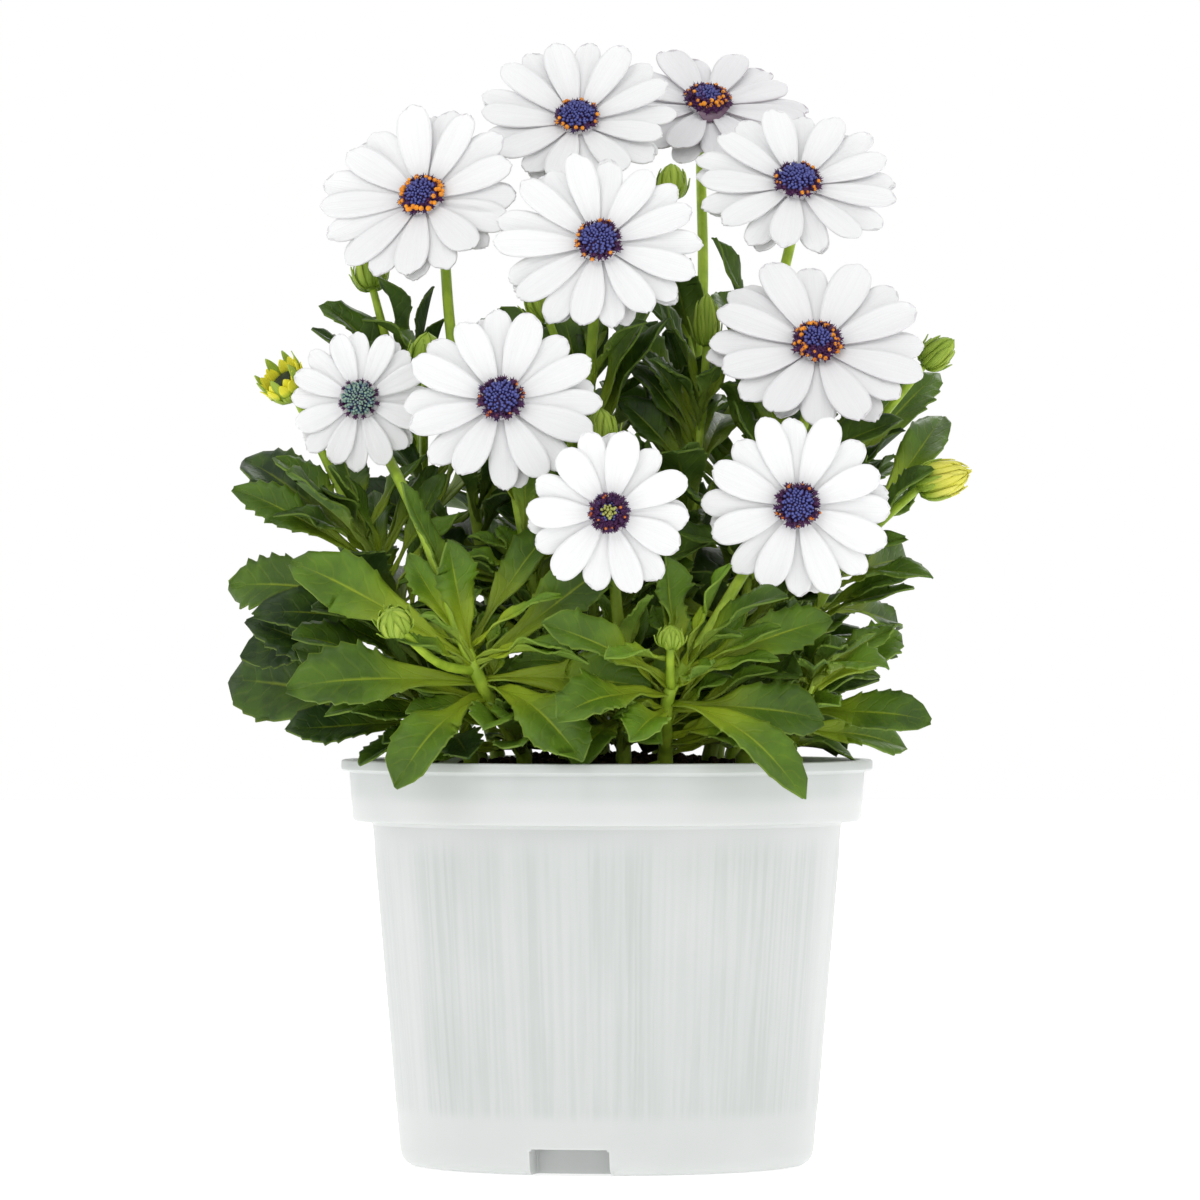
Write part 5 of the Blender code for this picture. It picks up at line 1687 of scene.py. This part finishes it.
# Rows of bracts and rays: count, low and high ends as shares of the bud's length, width as a share of its
# radius, and how far they stand off and flare (millimetres)
RIM_BRACTS = [(7, 0.35, 1.12, 0.5, 0.3, 0.8)]
BUD_BRACTS = {
    None: [(8, 0, 1.0, 0.78, 0.15, 0), (8, -0.02, 0.84, 0.5, 0.5, 0.8), (6, -0.03, 0.6, 0.34, 0.9, 1.8)],
    "cream": [(9, 0, 0.42, 0.5, 0.6, 0.3), (5, 0, 0.62, 0.3, 0.9, 1.2)],
    "yellow": [(8, 0, 0.5, 0.75, 0.25, 0.3)],
}
BUD_RAYS = {
    "cream": [
        (8, 0.1, 1.08, 0.66, 0.15, 0.9), (8, 0.1, 1.0, 0.55, 0.45, 1.5), (8, 0.1, 0.8, 0.42, 0.75, 1.2),
    ],
    "yellow": [(11, 0.36, 0.9, 0.62, 0.1, 0.5), (11, 0.36, 0.78, 0.55, 0.5, 1.0)],
}


def sized(bud, rows):
    """Rows of bracts or rays at a bud's true size."""
    wide, tall = bud.radius * MM, bud.length * MM
    return [
        (count, low * tall, high * tall, width * wide, stand * MM, flare * MM)
        for count, low, high, width, stand, flare in rows
    ]


def add_bud(piece, bud, stem, draw):
    """A bud on its twig, wrapped in pointed bracts."""
    line = fine_line(twig_line(bud, stem))
    add_tube(piece, line, np.linspace(STALK_RADIUS, TWIG_RADIUS, len(line)), STALK_TONE, STALK)
    bud = slimmed(bud)
    frame = bud_frame(bud)
    add_turned(piece, bud_outline(bud, "cup" if bud.tip else "whole"), BUD_SIDES, frame, 0.45, GREEN_BRACT)
    if bud.tip == "yellow":
        add_bracts(piece, frame, bud_outline(bud, "open rim"), sized(bud, RIM_BRACTS), draw, GREEN_BRACT)
    add_bracts(piece, frame, bud_outline(bud), sized(bud, BUD_BRACTS[bud.tip]), draw, GREEN_BRACT, (0, 1))


def make_bud_tip(bud):
    """The coloured tip of a bud: furled rays, or the open rim of a spent head round its dark middle."""
    draw, bud = random.Random(5), slimmed(bud)
    piece = Piece(bud.tip + "_bud_rays")
    frame = bud_frame(bud)
    spent = bud.tip == "yellow"
    core, around = ("sunk tip", "open rim") if spent else ("tip", "whole")
    add_turned(piece, bud_outline(bud, core), BUD_SIDES, frame, 0.1 if spent else 0.4, 1 if spent else 0)
    add_bracts(piece, frame, bud_outline(bud, around), sized(bud, BUD_RAYS[bud.tip]), draw, 0, (0, 1))
    return piece.made([YELLOW_RAY, DARK_MIDDLE] if spent else [CREAM_RAY])


# What a shoot adds to the tone of its leaves: the shoots in front and in the middle are the brightest
BRIGHT_SHOOTS = {
    "01": 0.13, "02": 0.13, "03": 0.12, "05": 0.12, "06": 0.08, "07": 0.14, "08": 0.1, "09": 0.1, "10": 0.14,
    "11": -0.06, "13": 0.16, "14": 0.14, "15": 0.08, "16": 0.08, "18": -0.12, "19": 0.1,
}
NARROW_LEAVED = {"13": 0.74, "14": 0.82}
# Low leaves whose tips are further to the right than this are shorter than in the solids
SHORT_LEAVED_RIGHT, SHORT_LEAVED_TOP = 58 * MM, 158 * MM
# Leaves shorter than this are the young ones of a rosette
YOUNG_LENGTH, YOUNG_TONE = 34.5 * MM, 0.3
# A stem's tone where it is green, the shoot that is flushed red on some sides, and how fast stems thin
STALK_TONE = 0.2
RED_STALKS, RED_SIDES = {"10": 0.9}, (3, 4, 5)
STEM_TAPER = 0.45


def leaf_tone(shoot, blade, draw):
    """How bright a leaf is: young leaves of the front are bright, and those behind are darker, as painted
    shade.
    """
    # Painted shade: the further back a leaf is rooted, the lower its tone and the darker its green
    depth = blade.root.y / (90 * MM)
    young = YOUNG_TONE if blade.length < YOUNG_LENGTH and shoot.name in ROSETTES else 0
    tone = 0.18 - 0.18 * depth + young + BRIGHT_SHOOTS.get(shoot.name, 0)
    return min(1, max(0, tone + draw.uniform(-0.18, 0.24)))


def make_foliage(shoot, leaves):
    """One green shoot: its stem, leaves, buds and the cup of its bloom."""
    draw = random.Random(int(shoot.name) * 19 + 4)
    piece = Piece("foliage_" + shoot.name)
    coarse = stem_line(shoot)
    line = [coarse[0], *fine_line(coarse[1:])]
    change = tip_radius(shoot) - STEM_RADIUS
    foot, top = line[1].z, line[-1].z
    radii = [STEM_RADIUS + change * max(0, (p.z - foot) / (top - foot)) ** STEM_TAPER for p in line]
    red = RED_STALKS.get(shoot.name, STALK_TONE)
    around = [red if k in RED_SIDES else STALK_TONE for k in range(STEM_SIDES)]
    add_tube(piece, line, radii, around * len(line), STALK)
    for blade in leaves:
        blade = blade._replace(width=blade.width * NARROW_LEAVED.get(shoot.name, 1))
        tip = blade_point(blade, 1, 0)
        if tip.x > SHORT_LEAVED_RIGHT and tip.z < SHORT_LEAVED_TOP:
            blade = blade._replace(length=blade.length * 0.8, width=blade.width * 0.85)
        add_sheet(piece, leaf_grid(blade, draw), LEAF_THICKNESS, leaf_tone(shoot, blade, draw), UPPER, UNDER)
    for bud in shoot.buds:
        add_bud(piece, bud, coarse, draw)
    if shoot.bloom:
        add_cup(piece, bloom_named(shoot.bloom), draw)
    return piece.made(FOLIAGE)


# Pot and soil
SHARP_FROM = 32
FLUTE = 0.16 * MM
# How many times the depth of the flutes changes round the pot, about
FLUTE_CHANGES = 16
FINE_POT_STEPS = 240


def fine_profile():
    """The pot's outline as (radius, height, flute) points, with rounded edges."""
    body_top = BAND_FOOT - 0.9 * MM
    foot_top = 4 * MM
    lip_foot = POT_HEIGHT - LIP_HEIGHT
    wall, rounding = POT_WALL, 0.5 * MM
    inner = BAND_RADIUS - wall

    def body(z):
        return FOOT_RADIUS + (BODY_RADIUS - FOOT_RADIUS) * (z - foot_top) / (body_top - foot_top)

    lip = [
        (inner + 0.1 * MM, POT_HEIGHT - 0.25 * MM), (inner + 0.5 * MM, POT_HEIGHT),
        (LIP_RADIUS - rounding, POT_HEIGHT), (LIP_RADIUS - 0.15 * MM, POT_HEIGHT - 0.15 * MM),
        (LIP_RADIUS, POT_HEIGHT - rounding), (LIP_RADIUS, lip_foot + 0.4 * MM),
        (LIP_RADIUS - 0.3 * MM, lip_foot), (BAND_RADIUS + 0.3 * MM, lip_foot - 0.1 * MM),
    ]
    band = [
        (BAND_RADIUS, lip_foot - 0.5 * MM), (BAND_FOOT_RADIUS, BAND_FOOT + 0.8 * MM),
        (BAND_FOOT_RADIUS - 0.3 * MM, BAND_FOOT + 0.2 * MM), (BAND_FOOT_RADIUS - 1.0 * MM, BAND_FOOT),
        (BODY_RADIUS + 0.6 * MM, BAND_FOOT - 0.1 * MM), (BODY_RADIUS, body_top), (body(78 * MM), 78 * MM),
    ]
    fluted = [(body(z * MM), z * MM, 1) for z in (75.5, 50, 30, 15)]
    foot = [
        (body(13.6 * MM) + 0.05 * MM, 13.6 * MM), (FOOT_RADIUS, foot_top), (FOOT_RADIUS - 0.4 * MM, 2.2 * MM),
        (FOOT_RADIUS - 1.3 * MM, 0.9 * MM), (FOOT_RADIUS - 2.4 * MM, 0.2 * MM),
        (FOOT_RADIUS - 3.6 * MM, 0), (0, 0),
    ]
    inside = [
        (0, wall), (FOOT_RADIUS - 4 * MM, wall), (FOOT_RADIUS - wall, 4.4 * MM),
        (BODY_RADIUS - wall, body_top + 0.5 * MM), (BAND_FOOT_RADIUS - wall - 0.5 * MM, BAND_FOOT + wall),
    ]

    def plain(points):
        return [(radius, height, 0) for radius, height in points]

    return [*plain(lip), *plain(band), *fluted, *plain(foot), *plain(inside)]


def pot_shell():
    """The pot's closed wall, with shallow upright flutes between two heights."""
    profile = fine_profile()
    bm = bmesh.new()
    circles = []
    for radius, height, flute in profile:
        if radius == 0:
            circles.append([bm.verts.new((0, 0, height))])
            continue
        ring = []
        for i in range(FINE_POT_STEPS):
            a = math.tau * i / FINE_POT_STEPS
            around = Vector((math.cos(a) * FLUTE_CHANGES, math.sin(a) * FLUTE_CHANGES, 0))
            wave = noise.noise(around) + 0.5 * (i % 2)
            reach = radius + flute * FLUTE * wave
            ring.append(bm.verts.new((reach * math.cos(a), reach * math.sin(a), height)))
        circles.append(ring)
    for high, low in zip(circles, [*circles[1:], circles[0]]):
        if len(high) == 1 and len(low) == 1:
            continue
        for i in range(FINE_POT_STEPS):
            j = (i + 1) % FINE_POT_STEPS
            if len(high) == 1:
                bm.faces.new((high[0], low[j], low[i]))
            elif len(low) == 1:
                bm.faces.new((high[i], high[j], low[0]))
            else:
                bm.faces.new((high[i], high[j], low[j], low[i]))
    bmesh.ops.recalc_face_normals(bm, faces=bm.faces[:])
    return bm


def drain_frames():
    """One frame for each drain notch, at the foot's edge, with its Y axis pointing out."""
    for i in range(DRAINS):
        out = heading(FIRST_DRAIN_BEARING + 360 * i / DRAINS, 0)
        frame = Matrix((out.cross(Vector((0, 0, 1))), out, Vector((0, 0, 1)))).transposed().to_4x4()
        frame.translation = out * (FOOT_RADIUS - DRAIN_DEPTH / 2)
        yield frame


def box(size, place):
    """A box with softened edges."""
    bm = bmesh.new()
    bmesh.ops.create_cube(bm, size=1.0, matrix=place @ Matrix.Diagonal((*size, 1)))
    bmesh.ops.bevel(bm, geom=bm.edges[:], offset=0.5 * MM, segments=2, affect="EDGES")
    return mesh_object("box", bm)


def boolean(target, other, operation):
    """Adds another object to a target or cuts it out, and removes it."""
    change = target.modifiers.new(operation, "BOOLEAN")
    change.operation, change.object, change.solver = operation, other, "MANIFOLD"
    mesh = evaluated_mesh(target)
    target.modifiers.remove(change)
    target.data = mesh
    bpy.data.objects.remove(other)


def wear(obj, finish):
    """Gives an object one finish all over, smooth shaded."""
    obj.data.materials.clear()
    obj.data.materials.append(finish)
    smooth_shaded(obj.data)


def make_fine_pot():
    """The pot with its drain notches, the hoods behind them and the holes above them."""
    pot = mesh_object("milky_pot", pot_shell())
    for frame in drain_frames():
        size = (DRAIN_WIDTH + 2 * POT_WALL, DRAIN_DEPTH - POT_WALL, DRAIN_HEIGHT + POT_WALL - 0.5 * MM)
        boolean(pot, box(size, frame @ Matrix.Translation((0, -POT_WALL, size[2] / 2 + 0.5 * MM))), "UNION")
        notch = (DRAIN_WIDTH, DRAIN_DEPTH, 2 * DRAIN_HEIGHT)
        boolean(pot, box(notch, frame @ Matrix.Translation((0, POT_WALL, 0))), "DIFFERENCE")
        drill = bmesh.new()
        bmesh.ops.create_cone(
            drill, cap_ends=True, segments=28,
            radius1=DRAIN_HOLE_RADIUS, radius2=DRAIN_HOLE_RADIUS, depth=10 * MM,
            matrix=Matrix.Translation((frame.translation.x, frame.translation.y, 7 * MM)),
        )
        boolean(pot, mesh_object("drill", drill), "DIFFERENCE")
    wear(pot, MILKY_PLASTIC)
    pot.data.set_sharp_from_angle(angle=math.radians(SHARP_FROM))
    return pot


# Lumps of the soil's top: their share of its roughness and how many there are to a metre
SOIL_LUMPS = ((1, 140), (0.6, 420), (0.35, 1100))
CRUMBS = {"Number per square metre": 9.0e4, "Smallest": 0.35, "Largest": 1.2, "Seed": 3}


def make_fine_soil():
    """The root ball with a lumpy top, and crumbs of peat strewn over it."""
    wide = BAND_FOOT_RADIUS - POT_WALL - 1.6 * MM
    body = BODY_RADIUS - POT_WALL - 0.9 * MM
    bottom = POT_WALL + CLEARANCE
    outline = [
        (0, bottom), (FOOT_RADIUS - 6 * MM, bottom), (FOOT_RADIUS - 4 * MM, 9 * MM),
        (body, BAND_FOOT - 1.2 * MM), (body, BAND_FOOT + 1.4 * MM),
        (wide, BAND_FOOT + POT_WALL + 1.2 * MM),
    ]
    outline += [(wide * s, SOIL_EDGE + SOIL_MOUND * (1 - s * s)) for s in np.linspace(1, 0.05, 26)]
    outline.append((0, SOIL_EDGE + SOIL_MOUND))
    bm = turned([(radius, height, 0) for radius, height in outline], 96, Matrix.Identity(4))
    for vert in bm.verts:
        if vert.co.z >= SOIL_EDGE - 0.1 * MM and math.hypot(vert.co.x, vert.co.y) < wide * 0.99:
            lumps = sum(share * noise.noise(vert.co * often) for share, often in SOIL_LUMPS)
            vert.co.z += SOIL_ROUGHNESS * lumps
    soil = mesh_object("root_ball", bm)
    for frame in drain_frames():
        gap = POT_WALL + CLEARANCE
        size = (DRAIN_WIDTH + 2 * gap, DRAIN_DEPTH + 2 * gap, 2 * (DRAIN_HEIGHT + gap))
        boolean(soil, box(size, frame @ Matrix.Translation((0, -POT_WALL / 2, 0))), "DIFFERENCE")
    wear(soil, PEAT)
    ground = bmesh.new()
    ground.from_mesh(soil.data)
    low = [v for v in ground.verts if v.co.z < SOIL_EDGE - 0.5 * MM]
    bmesh.ops.delete(ground, geom=low, context="VERTS")
    crumb = bmesh.new()
    bmesh.ops.create_icosphere(crumb, subdivisions=2, radius=1 * MM)
    for vert in crumb.verts:
        vert.co *= 1 + 0.35 * noise.noise(vert.co * 900)
    pattern = small_piece("crumb", crumb)
    values = {"Piece": pattern, "Finish": PEAT, **CRUMBS}
    crumbs = grown("crumbs", mesh_object("ground", ground), FACES_TREE, values)
    bpy.data.objects.remove(pattern)
    return one_object("peat_ball", [soil, crumbs])


# Studio: how bright the white world is as light, where the lamps point, and each lamp's place, size and power
WORLD_LIGHT = 0.86
LAMPS_AIM = (0, 0, 0.15)
LAMPS = {
    "key": ((-0.8, -1.3, 1.5), 1.0, 6.5),
    "fill": ((1.3, -1.0, 0.7), 1.0, 2),
    "back": ((0.4, 1.3, 1.2), 0.8, 6),
}
FLOOR_RADIUS = 4.0
FLOOR_DROP = 0.2 * MM
FLOOR_GLOW = 0.5


def make_floor():
    """A wide plain pale floor."""
    bm = bmesh.new()
    bmesh.ops.create_circle(bm, cap_ends=True, segments=96, radius=FLOOR_RADIUS)
    floor = mesh_object("floor", bm)
    floor.location.z = -FLOOR_DROP
    finish = Finish("pale_floor", 0.7, 0.2)
    finish.shader.inputs["Base Color"].default_value = (0.92, 0.92, 0.92, 1)
    finish.shader.inputs["Emission Color"].default_value = (1, 1, 1, 1)
    finish.shader.inputs["Emission Strength"].default_value = FLOOR_GLOW
    floor.data.materials.append(finish.material)


def add_lamp(name, place, size, power):
    """A square white lamp that shines on the plant."""
    light = bpy.data.lights.new(name, "AREA")
    light.energy, light.size = power, size
    obj = linked(name, light)
    obj.location = place
    obj.rotation_euler = (Vector(LAMPS_AIM) - Vector(place)).to_track_quat("-Z", "Y").to_euler()


def make_studio():
    """White all round for the camera, a little softer as light, with a large lamp to the upper left."""
    world = bpy.data.worlds.new("studio")
    world.use_nodes = True
    nodes, links = world.node_tree.nodes, world.node_tree.links
    glow = nodes["Background"]
    glow.inputs["Color"].default_value = (1, 1, 1, 1)
    path = nodes.new("ShaderNodeLightPath")
    strength = nodes.new("ShaderNodeMapRange")
    strength.inputs["To Min"].default_value = WORLD_LIGHT
    strength.inputs["To Max"].default_value = 1.0
    links.new(path.outputs["Is Camera Ray"], strength.inputs["Value"])
    links.new(strength.outputs["Result"], glow.inputs["Strength"])
    bpy.context.scene.world = world
    bpy.context.scene.view_settings.view_transform = "Standard"
    for name, lamp in LAMPS.items():
        add_lamp(name, *lamp)


# The photo's camera: level, with a long lens, and how wide a field it sees where the plant stands
CAMERA_ASIDE, CAMERA_DISTANCE, CAMERA_HEIGHT = -1.7 * MM, 2.2, 138 * MM
FIELD_WIDTH = 293.8 * MM
SENSOR_WIDTH = 36


def make_camera():
    """The photo's view: level with the plant's middle, from the front."""
    lens = bpy.data.cameras.new("camera")
    lens.sensor_width = SENSOR_WIDTH
    lens.lens = SENSOR_WIDTH * CAMERA_DISTANCE / FIELD_WIDTH
    lens.clip_end = 50
    camera = linked("camera", lens)
    camera.location = (CAMERA_ASIDE, -CAMERA_DISTANCE, CAMERA_HEIGHT)
    camera.rotation_euler = (math.radians(90), 0, 0)
    bpy.context.scene.camera = camera


def settle(obj, node):
    """Puts a finished piece in place of its CAD node."""
    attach(obj, "root")
    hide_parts(node)


def make_plant():
    """Every piece of the pot and the plant, each in place of its CAD node."""
    settle(make_fine_pot(), "pot")
    settle(make_fine_soil(), "soil")
    for bloom in BLOOMS:
        settle(make_petals(bloom), "rays_" + bloom.name)
        settle(make_eye(bloom), "disc_" + bloom.name)
    leaves = grow_leaves()
    for shoot in SHOOTS:
        settle(make_foliage(shoot, leaves[shoot.name]), "shoot_" + shoot.name)
        for bud in (b for b in shoot.buds if b.tip):
            settle(make_bud_tip(bud), bud.tip + "_bud")
    for pattern in (CLOSED_FLORET, OPEN_FLORET, GRAIN):
        bpy.data.objects.remove(pattern)


make_floor()
make_studio()
make_camera()
make_plant()
